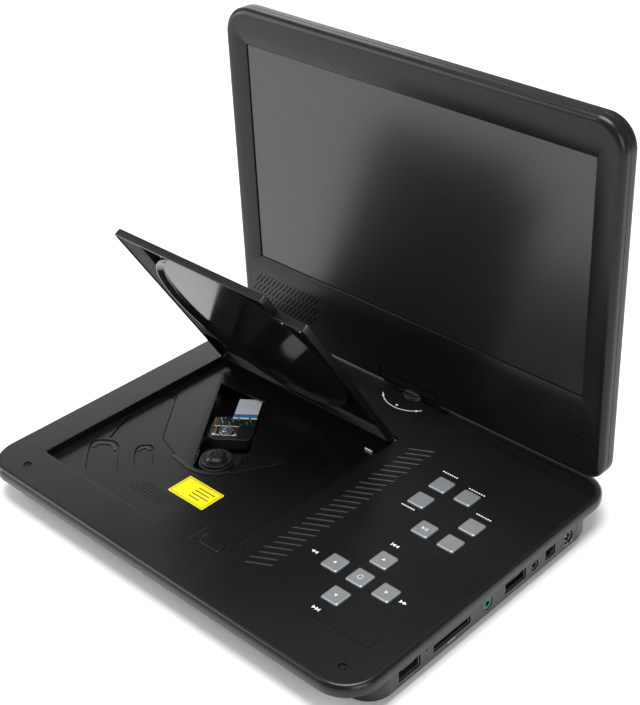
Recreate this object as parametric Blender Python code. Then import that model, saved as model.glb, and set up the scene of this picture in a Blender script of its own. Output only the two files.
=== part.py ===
"""Portable disc player with a swivelling, tilting 13.3 inch screen.

The model stands on its four feet at z = 0, with the front edge towards -Y and the sockets on the +X side.
It is drawn with the screen upright and the disc door standing open.
Lengths below are in millimetres and angles in degrees; make() turns them into Blender's metres.
"""
import math

import bmesh
import bpy
from mathutils import Matrix, Vector

MM = 0.001
GAP = 0.35                      # clearance between neighbouring pieces

# ---- driving dimensions ----
DISPLAY_W, DISPLAY_H = 293.8, 165.2     # a 13.3 inch 16:9 display
BASE_HALF_W = 170.5
BASE_FRONT, BASE_REAR = -129.0, 124.5
BASE_TOP = 27.0
BASE_CORNER_R = 24.0
FOOT_H = 2.2
FLOOR_Z = 2.5                   # underside of the bottom shell
PART_LINE_Z = 6.2               # where the two base shells meet
WALL = 2.2
LOWER_FRONT, LOWER_REAR = -112.0, 104.5     # front and rear walls under the overhanging rim
LOWER_FRONT_R = 17.0
RIM_UNDER = 19.0                # underside of the overhanging rim

TRAY_X0, TRAY_X1 = -143.1, 28.4
TRAY_Y0, TRAY_Y1 = -97.0, 70.4
TRAY_Z = 21.0
TRAY_CORNER_R = 3.0
RELEASE_X0, RELEASE_Y1 = 0.5, -79.5     # corner block that carries the release button

SPINDLE_X, SPINDLE_Y = -56.0, -22.0
TRAVERSE_DEG = 127.0            # direction in which the pickup travels

DOOR_OPEN_DEG = 58.7
DOOR_HINGE_Y, DOOR_HINGE_Z = 67.4, 25.5
DOOR_X0, DOOR_X1 = -141.7, 27.0
DOOR_LENGTH = 162.8
DOOR_THICK = 5.5                # from the flat outside to the edge of the lip
DOOR_SKIN = 1.2
DOOR_LIP = 1.3
RING_R = 78.2                   # the raised ring that surrounds the disc on the door's inside
BAND_X1 = -114.6                # right side of the raised band at the door's left edge
DOOR_ROD_R = 0.9

AXIS_Y, TILT_Z = 119.5, 37.4    # the swivel axis is at x = 0; the tilt axis runs along X
BARREL_R = 8.6
BARREL_HALF = 26.8
NOTCH_R = 9.2
NOTCH_HALF = 27.3
NOTCH_TOP = 42.9
BOSS_R = 9.5
POST_R = 5.0
SHAFT_R = 2.0

LID_HALF_W = 166.4
LID_Z0, LID_Z1 = 31.5, 281.3
LID_FRONT, LID_SPLIT, LID_BACK = 110.4, 118.0, 129.0
LID_CORNER_R, LID_LOW_CORNER_R = 21.0, 12.0
DISPLAY_Z0 = 90.4
FRAME_SLOPE = 9.3               # width of the sloping surround beside the display

KEY_SIZE = 13.3
KEY_TOP = 28.0
KEY_PITCH = 20.8
NAV_X, NAV_Y = 106.8, -52.6
FN_X, FN_Y = 85.1, 6.6

SCREEN_BLACK = (0.012, 0.012, 0.014)


# ---- outlines: lists of (a, b) points, counter-clockwise ----
def rounded_rect(x0, x1, y0, y1, radius, steps=6, low_radius=None):
    """A rounded rectangle; low_radius rounds its two lower corners when they differ."""
    low = radius if low_radius is None else low_radius
    points = []
    for cx, cy, r, start in ((x1 - radius, y1 - radius, radius, 0), (x0 + radius, y1 - radius, radius, 90),
                             (x0 + low, y0 + low, low, 180), (x1 - low, y0 + low, low, 270)):
        for i in range(steps + 1):
            a = math.radians(start + 90 * i / steps)
            points.append((cx + r * math.cos(a), cy + r * math.sin(a)))
    return points


def rectangle(x0, x1, y0, y1):
    return [(x1, y1), (x0, y1), (x0, y0), (x1, y0)]


def circle(cx, cy, radius, steps=24):
    turn = [2 * math.pi * i / steps for i in range(steps)]
    return [(cx + radius * math.cos(a), cy + radius * math.sin(a)) for a in turn]


def arc(cx, cy, radius, start, stop, steps):
    turn = [math.radians(start + (stop - start) * i / steps) for i in range(steps + 1)]
    return [(cx + radius * math.cos(a), cy + radius * math.sin(a)) for a in turn]


# ---- shapes: (vertices, faces) pairs, in millimetres ----
AXES = {
    "z": lambda a, b, c: (a, b, c),     # outline in XY, height along Z
    "y": lambda a, b, c: (a, c, b),     # outline in XZ, depth along Y
    "x": lambda a, b, c: (c, a, b),     # outline in YZ, length along X
}


def loft(layers, axis="z", ring=False):
    """Skin through layers of (outline, height); ring joins the last layer to the first."""
    place = AXES[axis]
    count = len(layers[0][0])
    verts = [place(a, b, height) for outline, height in layers for a, b in outline]
    faces = []
    spans = len(layers) if ring else len(layers) - 1
    for layer in range(spans):
        low, high = layer * count, (layer + 1) % len(layers) * count
        for i in range(count):
            j = (i + 1) % count
            faces.append((low + i, low + j, high + j, high + i))
    if not ring:
        faces.append(tuple(reversed(range(count))))
        faces.append(tuple(range((len(layers) - 1) * count, len(layers) * count)))
    return verts, faces


def prism(outline, low, high, axis="z"):
    return loft([(outline, low), (outline, high)], axis)


def box(x0, x1, y0, y1, z0, z1):
    return prism(rectangle(x0, x1, y0, y1), z0, z1)


def cylinder(a, b, radius, low, high, axis="z", steps=24):
    return prism(circle(a, b, radius, steps), low, high, axis)


def turned(a, b, profile, axis="z", steps=24):
    """A round solid from (radius, height) pairs, capped at both ends."""
    return loft([(circle(a, b, radius, steps), height) for radius, height in profile], axis)


def joined(*shapes):
    """Several separate shapes as one, for cutters."""
    verts, faces = [], []
    for shape_verts, shape_faces in shapes:
        start = len(verts)
        verts += shape_verts
        faces += [tuple(start + i for i in face) for face in shape_faces]
    return verts, faces


# ---- Blender objects ----
MATERIALS = {
    "black_shell": ((0.020, 0.020, 0.022), 0.45, 0.0),
    "black_gloss": ((0.010, 0.010, 0.011), 0.15, 0.0),
    "screen_glass": (SCREEN_BLACK, 0.08, 0.0),
    "key_silver": ((0.62, 0.63, 0.64), 0.38, 0.25),
    "rubber_black": ((0.03, 0.03, 0.03), 0.9, 0.0),
    "circuit_green": ((0.02, 0.11, 0.05), 0.5, 0.0),
    "steel": ((0.55, 0.56, 0.57), 0.3, 1.0),
    "dark_metal": ((0.10, 0.10, 0.11), 0.4, 0.8),
    "mech_black": ((0.025, 0.025, 0.027), 0.55, 0.0),
    "label_yellow": ((0.85, 0.78, 0.03), 0.5, 0.0),
    "ribbon_white": ((0.80, 0.82, 0.84), 0.45, 0.0),
    "nylon_white": ((0.78, 0.77, 0.72), 0.5, 0.0),
    "socket_green": ((0.02, 0.30, 0.20), 0.4, 0.0),
    "battery_wrap": ((0.05, 0.09, 0.20), 0.4, 0.0),
    "lens_blue": ((0.10, 0.16, 0.30), 0.05, 0.0),
}


def clear_scene():
    for item in list(bpy.data.objects):
        bpy.data.objects.remove(item, do_unlink=True)


def material(name):
    if name in bpy.data.materials:
        return bpy.data.materials[name]
    color, roughness, metallic = MATERIALS[name]
    made = bpy.data.materials.new(name)
    made.use_nodes = True
    shader = made.node_tree.nodes["Principled BSDF"]
    shader.inputs["Base Color"].default_value = (*color, 1.0)
    shader.inputs["Roughness"].default_value = roughness
    shader.inputs["Metallic"].default_value = metallic
    return made


def make_mesh(name, shape):
    verts, faces = shape
    mesh = bpy.data.meshes.new(name)
    mesh.from_pydata([Vector(v) * MM for v in verts], [], faces)
    work = bmesh.new()
    work.from_mesh(mesh)
    bmesh.ops.recalc_face_normals(work, faces=work.faces)
    work.to_mesh(mesh)
    work.free()
    return mesh


def link(item, parent):
    bpy.context.scene.collection.objects.link(item)
    if parent is not None:
        item.parent = parent


def make(name, shape, finish, parent=None, origin=(0, 0, 0), smooth=None):
    """One named piece. The shape is in its parent's space, and origin is where its own origin goes."""
    mesh = make_mesh(name, shape)
    offset = Vector(origin) * MM
    mesh.transform(Matrix.Translation(-offset))
    mesh.materials.append(material(finish))
    if smooth:
        mesh.shade_smooth()
        mesh.set_sharp_from_angle(angle=math.radians(smooth))
    piece = bpy.data.objects.new(name, mesh)
    piece.location = offset
    link(piece, parent)
    return piece


def shape_change(piece, kind, shape, operation):
    """Cut a shape from a piece or add one to it with a Boolean modifier."""
    count = len([m for m in piece.modifiers if m.type == "BOOLEAN"])
    tool = bpy.data.objects.new(f"{piece.name}_{kind}_{count}", make_mesh("tool", shape))
    tool.hide_render = True
    tool.display_type = "WIRE"
    link(tool, piece.parent)
    modifier = piece.modifiers.new(f"{kind}_{count}", "BOOLEAN")
    modifier.operation = operation
    modifier.object = tool
    modifier.solver = "EXACT"


def cut(piece, *shapes):
    shape_change(piece, "cut", joined(*shapes), "DIFFERENCE")


def add(piece, shape):
    shape_change(piece, "add", shape, "UNION")


def axis_empty(name, location, parent=None, rotation=(0, 0, 0)):
    """An empty on a joint's axis, which carries the body that turns or slides there."""
    empty = bpy.data.objects.new(name, None)
    empty.location = Vector(location) * MM
    empty.rotation_euler = [math.radians(a) for a in rotation]
    link(empty, parent)
    return empty


# ---- base shells ----
def base_outline(side, rear=None, half=BASE_HALF_W, back=BASE_REAR, steps=8):
    """The base's plan, drawn in by side at the front and sides and by rear at the rear."""
    rear = side if rear is None else rear
    return rounded_rect(-half + side, half - side, BASE_FRONT + side, back - rear,
                        max(BASE_CORNER_R - side, 1.0), steps)


def lower_outline(inset, steps=8):
    """The plan of the body under the rim."""
    half = BASE_HALF_W - 0.8 - inset
    return rounded_rect(-half, half, LOWER_FRONT + inset, LOWER_REAR - inset,
                        BASE_CORNER_R - 0.8 - inset, steps, LOWER_FRONT_R - inset)


def tray_outline(inset):
    """The disc tray's plan: a rectangle without its front right corner."""
    x0, x1 = TRAY_X0 + inset, TRAY_X1 - inset
    y0, y1 = TRAY_Y0 + inset, TRAY_Y1 - inset
    cut_x, cut_y = RELEASE_X0 - inset, RELEASE_Y1 + inset
    r = TRAY_CORNER_R
    return (arc(x1 - r, y1 - r, r, 0, 90, 3) + arc(x0 + r, y1 - r, r, 90, 180, 3)
            + arc(x0 + r, y0 + r, r, 180, 270, 3) + arc(cut_x - r, y0 + r, r, 270, 360, 3)
            + [(cut_x, cut_y)] + arc(x1 - r, cut_y + r, r, 270, 360, 3))


def grown(outline, distance):
    """An outline with every side moved outwards."""
    result = []
    for i, here in enumerate(outline):
        before, here, after = Vector(outline[i - 1]), Vector(here), Vector(outline[(i + 1) % len(outline)])
        first, second = (here - before).normalized(), (after - here).normalized()
        out = Vector((first.y + second.y, -first.x - second.x))
        out *= 2 * distance / out.length_squared
        result.append(tuple(here + out))
    return result


COVER_OUTLINE = [(-139.5, 17.0), (-101.7, -30.0), (-64.0, -42.0), (-53.6, -41.2), (-42.0, -36.4),
                 (-36.0, -26.4), (-19.6, 0.0), (-16.0, 11.0), (-22.0, 30.0), (-36.0, 52.0), (-139.5, 52.0)]


def key_places():
    """Name, x and y of every key: a cross of five and a ring of six."""
    nav = {"key_nav_centre": (0, 0), "key_nav_left": (-1, 0), "key_nav_right": (1, 0),
           "key_nav_up": (0, 1), "key_nav_down": (0, -1)}
    ring = [(0, 2), (0, 1), (1, 2), (1, 0), (2, 1), (2, 0)]
    places = [(name, NAV_X + i * KEY_PITCH, NAV_Y + j * KEY_PITCH) for name, (i, j) in nav.items()]
    places += [(f"key_function_{n + 1}", FN_X + i * (KEY_PITCH + 0.4), FN_Y + j * KEY_PITCH)
               for n, (i, j) in enumerate(ring)]
    return places


def socket_cuts(x0, x1, grow):
    """The openings in the right wall, one for each socket in SOCKETS."""
    shapes = []
    for socket in SOCKETS:
        if socket["round"]:
            shapes.append(cylinder(socket["y"], socket["z"], socket["h"] / 2 + grow, x0, x1, "x", 20))
        else:
            half_w, half_h = socket["w"] / 2 + grow, socket["h"] / 2 + grow
            outline = rectangle(socket["y"] - half_w, socket["y"] + half_w,
                                socket["z"] - half_h, socket["z"] + half_h)
            shapes.append(prism(outline, x0, x1, "x"))
    return shapes


SOCKETS = [
    {"node": "dc_inlet", "round": True, "y": 72.4, "z": 13.6, "w": 9.0, "h": 9.0, "hole": 3.0},
    {"node": "power_switch_frame", "round": False, "y": 53.5, "z": 13.8, "w": 9.6, "h": 6.8, "hole": 0},
    {"node": "av_socket", "round": True, "y": 37.2, "z": 13.5, "w": 6.8, "h": 6.8, "hole": 1.8},
    {"node": "video_socket", "round": False, "y": 18.0, "z": 13.8, "w": 20.0, "h": 7.4, "hole": 0},
    {"node": "headphone_socket", "round": True, "y": -8.8, "z": 13.6, "w": 7.8, "h": 7.8, "hole": 1.8},
    {"node": "card_slot", "round": False, "y": -42.3, "z": 13.2, "w": 33.0, "h": 4.8, "hole": 0},
    {"node": "usb_socket", "round": False, "y": -79.6, "z": 13.8, "w": 18.0, "h": 7.6, "hole": 0},
]
SOCKET_FACE, SOCKET_BACK = BASE_HALF_W - 1.4, BASE_HALF_W - 16.0
FEET = [("foot_front_left", -138, -94), ("foot_front_right", 138, -94),
        ("foot_rear_left", -140, 82), ("foot_rear_right", 140, 82)]
SCREWS = [("base_screw_front_left", -153, -98), ("base_screw_front_right", 153, -98),
          ("base_screw_rear_left", -153, 86), ("base_screw_rear_right", 153, 86)]
SCREW_R = 1.4


def build_top_shell():
    layers = []
    for step in range(6):                       # the rounded edge, from the flat top down
        a = math.radians(90 * step / 5)
        side, rear = 3.2 * (1 - math.sin(a)), 10.0 * (1 - math.sin(a))
        layers.append((base_outline(side, rear), BASE_TOP - 4.4 * (1 - math.cos(a))))
    layers += [
        (base_outline(0), RIM_UNDER + 0.6), (base_outline(0.5), RIM_UNDER),
        (lower_outline(0), RIM_UNDER), (lower_outline(0), PART_LINE_Z + 0.3),
        (lower_outline(WALL), PART_LINE_Z + 0.3), (lower_outline(WALL), BASE_TOP - 2.0),
    ]
    shell = make("base_top_shell", loft(layers), "black_shell", smooth=40)
    add(shell, prism(tray_outline(-2.0), TRAY_Z - 2.0, BASE_TOP - 1.0))
    add(shell, cylinder(0, AXIS_Y, BOSS_R, 11.0, BASE_TOP, steps=32))
    for _, x, y in SCREWS:
        add(shell, cylinder(x, y, 3.6, 7.0, BASE_TOP - 1.0, steps=14))
    cut(shell, prism(tray_outline(0), TRAY_Z, BASE_TOP + 5))
    holes = [prism(grown(COVER_OUTLINE, GAP), 15, TRAY_Z + 1)]
    holes.append(cylinder(0, AXIS_Y, POST_R + GAP, 5, 40, steps=28))
    holes += [cylinder(x, y, SCREW_R + 0.2, 5, 17, steps=12) for _, x, y in SCREWS]
    half = KEY_SIZE / 2 + GAP
    holes += [prism(rounded_rect(x - half, x + half, y - half, y + half, 1.4, 2), 22, 40)
              for _, x, y in key_places()]
    holes.append(prism(rounded_rect(*release_button_box(GAP), 2.0 + GAP, 3), 15, 40))
    cut(shell, *holes)
    cut(shell, *socket_cuts(BASE_HALF_W - 6, BASE_HALF_W + 6, GAP),
        cylinder(-65.1, 16.4, 0.8, BASE_HALF_W - 6, BASE_HALF_W + 6, "x", 10),
        cylinder(DOOR_HINGE_Y, DOOR_HINGE_Z, DOOR_ROD_R + 0.3, TRAY_X0 - 1.6, TRAY_X1 + 1.6, "x", 12))
    return shell


def build_bottom_shell():
    inside = [(7.2, FLOOR_Z + 2.0), (3.0, FLOOR_Z + 2.8), (WALL, PART_LINE_Z)]
    edge = [(0, PART_LINE_Z), (1.0, 4.9), (3.0, 3.4), (5.2, 2.65), (6.5, FLOOR_Z)]
    layers = [(lower_outline(inset, 6), height) for inset, height in inside + edge]
    shell = make("base_bottom_shell", loft(layers), "black_shell", smooth=40)
    slots = [prism(rounded_rect(40 + 9 * i, 43 + 9 * i, -20, 40, 1.4, 2), -5, 5.5) for i in range(8)]
    screw_holes = [cylinder(x, y, 2.6 + GAP, -5, 3.6, steps=16) for _, x, y in SCREWS]
    screw_holes += [cylinder(x, y, SCREW_R + GAP, -5, 7, steps=12) for _, x, y in SCREWS]
    cut(shell, *slots)
    cut(shell, *screw_holes[:4])
    cut(shell, *screw_holes[4:])
    return shell


def build_feet_and_screws():
    for name, x, y in FEET:
        profile = [(9.0, FOOT_H), (9.0, 0.5), (8.4, 0.0)]
        make(name, turned(x, y, profile, steps=20), "rubber_black", origin=(x, y, 0), smooth=40)
    for name, x, y in SCREWS:
        profile = [(2.6, 2.3), (2.6, 3.3), (SCREW_R, 3.4), (SCREW_R, 16.0)]
        screw = make(name, turned(x, y, profile, steps=12), "steel", origin=(x, y, 2.3))
        cut(screw, box(x - 1.8, x + 1.8, y - 0.35, y + 0.35, 1.5, 2.8))
        cut(screw, box(x - 0.35, x + 0.35, y - 1.8, y + 1.8, 1.5, 2.8))


# ---- sockets and controls ----
def build_sockets():
    for socket in SOCKETS:
        y, z = socket["y"], socket["z"]
        half_w, half_h = socket["w"] / 2, socket["h"] / 2
        finish = "socket_green" if socket["node"] == "headphone_socket" else "mech_black"
        if socket["round"]:
            body = cylinder(y, z, half_h, SOCKET_BACK, SOCKET_FACE, "x", 20)
            piece = make(socket["node"], body, finish, smooth=40)
            depth = SOCKET_BACK + 2.0
            bore = cylinder(y, z, socket["hole"], depth, SOCKET_FACE + 2, "x", 16)
            if socket["node"] == "dc_inlet":
                ring = [(circle(y, z, socket["hole"], 16), SOCKET_FACE + 2),
                        (circle(y, z, socket["hole"], 16), depth),
                        (circle(y, z, 0.8, 16), depth), (circle(y, z, 0.8, 16), SOCKET_FACE + 2)]
                bore = loft(ring, "x", ring=True)
            cut(piece, bore)
        else:
            outline = rectangle(y - half_w, y + half_w, z - half_h, z + half_h)
            piece = make(socket["node"], prism(outline, SOCKET_BACK, SOCKET_FACE, "x"),
                         "steel" if socket["node"] == "usb_socket" else "mech_black")
            cut(piece, slot_mouth(socket))
    build_power_switch()


def slot_mouth(socket):
    """The hollow in a flat socket: a plain slot, or a slot round a contact tongue."""
    y, z = socket["y"], socket["z"]
    inner_w, inner_h = socket["w"] / 2 - 1.0, socket["h"] / 2 - 1.0
    outer = rectangle(y - inner_w, y + inner_w, z - inner_h, z + inner_h)
    if socket["node"] in ("card_slot", "power_switch_frame"):
        return prism(outer, SOCKET_BACK + 3, SOCKET_FACE + 2, "x")
    low, high = (0.2, 1.6) if socket["node"] == "usb_socket" else (-0.7, 0.7)
    tongue = rectangle(y - inner_w + 1.4, y + inner_w - 1.4, z + low, z + high)
    back, front = SOCKET_BACK + 3, SOCKET_FACE - 2.0
    return loft([(outer, SOCKET_FACE + 2), (outer, back), (tongue, back), (tongue, front)], "x")


def build_power_switch():
    socket = SOCKETS[1]
    y, z = socket["y"] + 1.5, socket["z"]
    slide = axis_empty("power_switch_axis", (0, y, z))
    stem = rectangle(-1.4, 1.4, -1.5, 1.5)
    grip = rectangle(-1.9, 1.9, -1.9, 1.9)
    layers = [(stem, SOCKET_BACK + 4), (stem, SOCKET_FACE - 2), (grip, SOCKET_FACE - 2),
              (grip, SOCKET_FACE + 0.6), (rectangle(-1.4, 1.4, -1.4, 1.4), SOCKET_FACE + 1.2)]
    make("power_switch_knob", loft(layers, "x"), "black_gloss", slide)


def build_keys():
    for name, x, y in key_places():
        slide = axis_empty(f"{name}_axis", (x, y, KEY_TOP))
        half, flange = KEY_SIZE / 2, KEY_SIZE / 2 + 1.4

        def square(size):
            return rounded_rect(-size, size, -size, size, 1.2, 2)
        layers = [(square(flange), -4.4), (square(flange), -3.3), (square(half), -3.3),
                  (square(half), -1.0), (square(half - 0.35), -0.35), (square(half - 1.1), 0)]
        make(name, loft(layers), "key_silver", slide)


def release_button_box(grow):
    return (RELEASE_X0 + 5.4 - grow, TRAY_X1 - 4.2 + grow, -92.6 - grow, RELEASE_Y1 - 4.2 + grow)


def build_release_button():
    x0, x1, y0, y1 = release_button_box(0)
    cx, cy = (x0 + x1) / 2, (y0 + y1) / 2
    slide = axis_empty("door_release_axis", (cx, cy, BASE_TOP))
    hx, hy = (x1 - x0) / 2, (y1 - y0) / 2
    wide = rounded_rect(-hx - 1.2, hx + 1.2, -hy - 1.2, hy + 1.2, 2.0, 3)
    body = rounded_rect(-hx, hx, -hy, hy, 2.0, 3)
    layers = [(wide, -10.6), (wide, -9.4), (body, -9.4), (body, -0.2),
              (rounded_rect(-hx + 0.5, hx - 0.5, -hy + 0.5, hy - 0.5, 1.5, 3), 0.3)]
    make("door_release_button", loft(layers), "black_shell", slide)


# ---- boards, battery and disc mechanism ----
def build_boards():
    make("main_circuit_board", box(42, 165, -90, 78, 5.2, 6.8), "circuit_green")
    make("key_circuit_board", prism(rounded_rect(70, 143, -88, 66, 3, 2), 21.0, 22.4), "circuit_green")
    make("battery_pack", prism(rounded_rect(50, 140, -60, 62, 6, 3), 7.6, 19.4), "battery_wrap")


def build_mechanism_cover():
    """The flush cover, with the pickup's window through it."""
    cover = make("mechanism_cover", prism(COVER_OUTLINE, TRAY_Z - 1.2, TRAY_Z), "mech_black")
    window = [(70, -22), (92, 14.2)] + arc(0, 0, 17.0, 123.4, 270, 12) + [(10, -22)]
    cut(cover, prism(window, -8, 8))
    cover.modifiers[-1].object.parent = traverse_empty()


def traverse_empty():
    """The pickup's own axes: local X away from the spindle, local z = 0 at the tray floor."""
    name = "traverse_axes"
    if name in bpy.data.objects:
        return bpy.data.objects[name]
    return axis_empty(name, (SPINDLE_X, SPINDLE_Y, TRAY_Z), rotation=(0, 0, TRAVERSE_DEG))


RODS = [("guide_rod_left", 17.0), ("guide_rod_right", -26.0)]
ROD_Z, ROD_R = -7.0, 1.5
ROD_START, ROD_END = -18.0, 86.0
SCREW_W = -34.0


def build_mechanism():
    axes = traverse_empty()
    deck = prism(rounded_rect(-24, 92, -42, 22, 4, 3), -16.2, -14.8)
    chassis = make("mechanism_chassis", deck, "dark_metal", axes)
    for _, w in RODS:
        for u in (ROD_START + 3, ROD_END - 3):
            add(chassis, box(u - 2.6, u + 2.6, w - 3.4, w + 3.4, -15.6, ROD_Z + 3.0))
    for u in (ROD_START + 22, ROD_END - 3):
        add(chassis, box(u - 2.0, u + 2.0, SCREW_W - 3.4, SCREW_W + 3.4, -15.6, ROD_Z + 3.0))
    holes = [cylinder(w, ROD_Z, ROD_R + 0.3, ROD_START - 5, ROD_END + 5, "x", 12) for _, w in RODS]
    holes.append(cylinder(SCREW_W, ROD_Z, 1.2 + 0.3, ROD_START - 5, ROD_END + 5, "x", 12))
    cut(chassis, *holes)
    for name, w in RODS:
        make(name, cylinder(w, ROD_Z, ROD_R, ROD_START, ROD_END, "x", 12), "steel", axes, smooth=40)
    make("spindle_motor", turned(0, 0, [(11.0, -14.4), (11.8, -13.6), (11.8, -2.2), (9.0, -1.6)]),
         "dark_metal", axes, smooth=40)
    motor = make("sled_motor", cylinder(SCREW_W, ROD_Z, 4.6, ROD_START - 8, ROD_START + 14.6, "x", 16),
                 "steel", axes, smooth=40)
    cut(motor, cylinder(SCREW_W, ROD_Z, 1.4 + GAP, ROD_START + 10, ROD_START + 30, "x", 12))
    hub = axis_empty("spindle_axis", (0, 0, 0), axes)
    profile = [(11.0, -1.2), (11.0, 0.2), (7.3, 0.2), (7.3, 2.2), (5.6, 3.3), (2.0, 3.4)]
    make("spindle_hub", turned(0, 0, profile, steps=32), "mech_black", hub, smooth=30)
    build_lead_screw(axes)
    build_sled(axes)


def build_lead_screw(axes):
    turn = axis_empty("lead_screw_axis", (0, SCREW_W, ROD_Z), axes)
    start, stop = ROD_START + 11.5, ROD_END - 0.5
    profile = [(1.2, start), (1.2, start + 16.5)]
    threads = 20
    first, last = start + 18.0, stop - 6.5
    for i in range(threads + 1):
        u = first + (last - first) * i / threads
        profile.append((1.9 if i % 2 else 1.45, u))
    profile += [(1.2, last + 0.8), (1.2, stop)]
    make("lead_screw", turned(0, 0, profile, "x", 12), "steel", turn)


def build_sled(axes):
    """The optical pickup on its sled; local w = 0 is the spindle's radius."""
    slide = axis_empty("pickup_axis", (38.0, 0, ROD_Z), axes)
    block = prism([(13.6, -20.0), (14.0, 8.0), (9.0, 11.6), (-9.0, 11.6), (-12.6, 6.0), (-12.6, -16.0),
                   (-8.0, -20.0)], -3.5, 4.6)
    sled = make("pickup_sled", block, "mech_black", slide)
    add(sled, box(-8, 8, 10, 19.8, -2.9, 2.9))
    add(sled, box(-8, 8, -29.4, -18, -2.9, 2.9))
    add(sled, box(-2.5, 2.5, -31.6, -28, -1.8, 1.8))
    cut(sled, *[cylinder(w, 0, ROD_R + 0.3, -40, 40, "x", 12) for _, w in RODS])
    cut(sled, cylinder(-2.5, 0, 5.2 + GAP, 2.6, 20, "z", 24))
    profile = [(5.2, 3.0), (5.2, 5.6), (2.6, 5.7), (2.4, 6.2), (1.4, 6.5)]
    make("pickup_lens", turned(-2.5, 0, profile, steps=24), "lens_blue", slide, smooth=40)
    make("pickup_circuit_board", box(3.4, 13.4, -19.6, 7.6, 4.9, 5.5), "circuit_green", slide)
    make("pickup_ribbon", box(14.4, 40.0, -19.0, -2.0, 3.0, 3.3), "ribbon_white", slide)


def build_label():
    make("plain_label", prism(rounded_rect(-54.0, -20.6, -66.0, -46.3, 1.0, 2), TRAY_Z + 0.05, TRAY_Z + 0.2),
         "label_yellow")


# ---- disc door, drawn shut and turned open about its hinge ----
def door_outline(inset):
    """The door's plan with y = 0 on the hinge axis: a rectangle without its front right corner."""
    x0, x1 = DOOR_X0 + inset, DOOR_X1 - inset
    y0, y1 = -DOOR_LENGTH + inset, -3.2 - inset
    cut_x = RELEASE_X0 - 0.8 - inset
    cut_y = RELEASE_Y1 - DOOR_HINGE_Y + 0.8 + inset
    r = 2.4
    return (arc(x1 - r, y1 - r, r, 0, 90, 2) + arc(x0 + r, y1 - r, r, 90, 180, 2)
            + arc(x0 + r, y0 + r, r, 180, 270, 3) + arc(cut_x - r, y0 + r, r, 270, 360, 3)
            + [(cut_x, cut_y)] + arc(x1 - r, cut_y + r, r, 270, 360, 3))


def build_door():
    hinge = axis_empty("disc_door_axis", (0, DOOR_HINGE_Y, DOOR_HINGE_Z), rotation=(-DOOR_OPEN_DEG, 0, 0))
    top = BASE_TOP - DOOR_HINGE_Z
    lip = top - DOOR_THICK
    layers = [(door_outline(0.8), top), (door_outline(0.2), top - 0.3), (door_outline(0), top - 0.8),
              (door_outline(0), lip + 0.3), (door_outline(0.3), lip),
              (door_outline(DOOR_LIP), lip), (door_outline(DOOR_LIP), top - DOOR_SKIN)]
    door = make("disc_door", loft(layers), "black_shell", hinge, smooth=40)
    add(door, box(DOOR_X0 + 3, DOOR_X1 - 3, -4.2, -1.0, -1.2, top - 0.5))
    add(door, cylinder(0, 0, 2.2, DOOR_X0 + 0.3, DOOR_X1 - 0.3, "x", 16))
    cut(door, cylinder(0, 0, DOOR_ROD_R + GAP, DOOR_X0 - 5, DOOR_X1 + 5, "x", 12))
    make("door_hinge_rod", cylinder(DOOR_HINGE_Y, DOOR_HINGE_Z, DOOR_ROD_R, TRAY_X0 - 1.3, TRAY_X1 + 1.3, "x", 10),
         "steel", smooth=40)
    build_door_lining(hinge, top - DOOR_SKIN - 0.3, lip + 0.1)


def build_door_lining(hinge, high, low):
    """The door's inner panel, with a raised ring round the disc and a raised band at the left, and its catch."""
    floor = high - 1.0
    lining = make("door_inner_panel", prism(door_outline(DOOR_LIP + 0.3), low, high), "black_gloss",
                  hinge, smooth=40)
    cx, cy = SPINDLE_X, SPINDLE_Y - DOOR_HINGE_Y
    dish = [(circle(cx, cy, RING_R - 1.2, 56), low - 2), (circle(cx, cy, RING_R - 1.2, 56), low),
            (circle(cx, cy, RING_R - 4.7, 56), floor)]
    cut(lining, loft(dish))
    outside = [(circle(cx, cy, RING_R, 56), floor), (circle(cx, cy, 210, 56), floor),
               (circle(cx, cy, 210, 56), low - 2), (circle(cx, cy, RING_R, 56), low - 2)]
    cut(lining, loft(outside, ring=True))
    left, front = DOOR_X0 + 1.8, -DOOR_LENGTH + 1.8
    band = [(left, -39.4), (left, front + 2.2), (left + 2.2, front), (BAND_X1, front)]
    add(lining, prism(band + arc(cx, cy, RING_R - 0.6, 221, 140, 14), low + 0.5, floor + 0.3))
    edge = RELEASE_Y1 - DOOR_HINGE_Y + 0.8
    slot = (4.6, 22.4, edge + DOOR_LIP + 0.4, edge + DOOR_LIP + 3.6)
    cut(lining, box(slot[0] - GAP, slot[1] + GAP, edge - 5, slot[3] + GAP, low - 5, high + 5))
    catch = rectangle(*slot)
    tip = rectangle(slot[0] + 0.4, slot[1] - 0.4, slot[2] + 0.4, slot[3] - 0.4)
    tab = make("door_catch", loft([(tip, low - 0.2), (catch, low + 0.2), (catch, high)]), "steel", hinge)
    cut(tab, box(10.6, 16.2, edge + DOOR_LIP + 1.0, edge + DOOR_LIP + 3.0, low - 3, low + 2.4))


# ---- swivel ----
def build_swivel():
    swivel = axis_empty("swivel_axis", (0, AXIS_Y, BASE_TOP))
    neck = TILT_Z - BASE_TOP
    profile = arc(0, neck, BARREL_R, -32, 232, 22) + [(-5.1, 1.8), (-4.7, 1.4), (6.7, 1.4), (7.3, 2.0)]
    half = BARREL_HALF
    inner = [(a * 0.94, neck + (b - neck) * 0.94 - 0.02) for a, b in profile]
    layers = [(inner, -half), (profile, -half + 0.6), (profile, half - 0.6), (inner, half)]
    housing = make("hinge_housing", loft(layers, "x"), "black_shell", swivel, smooth=35)
    cut(housing, cylinder(0, neck, SHAFT_R + GAP, -half - 5, half + 5, "x", 16))
    make("swivel_washer", turned(0, 0, [(9.0, 0.3), (9.0, 1.05)], steps=28), "steel", swivel)
    post = [(8.2, -19.0), (8.6, -18.6), (8.6, -16.4), (POST_R, -16.3), (POST_R, 0.0)]
    make("swivel_post", turned(0, 0, post, steps=24), "steel", swivel, smooth=40)


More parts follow.
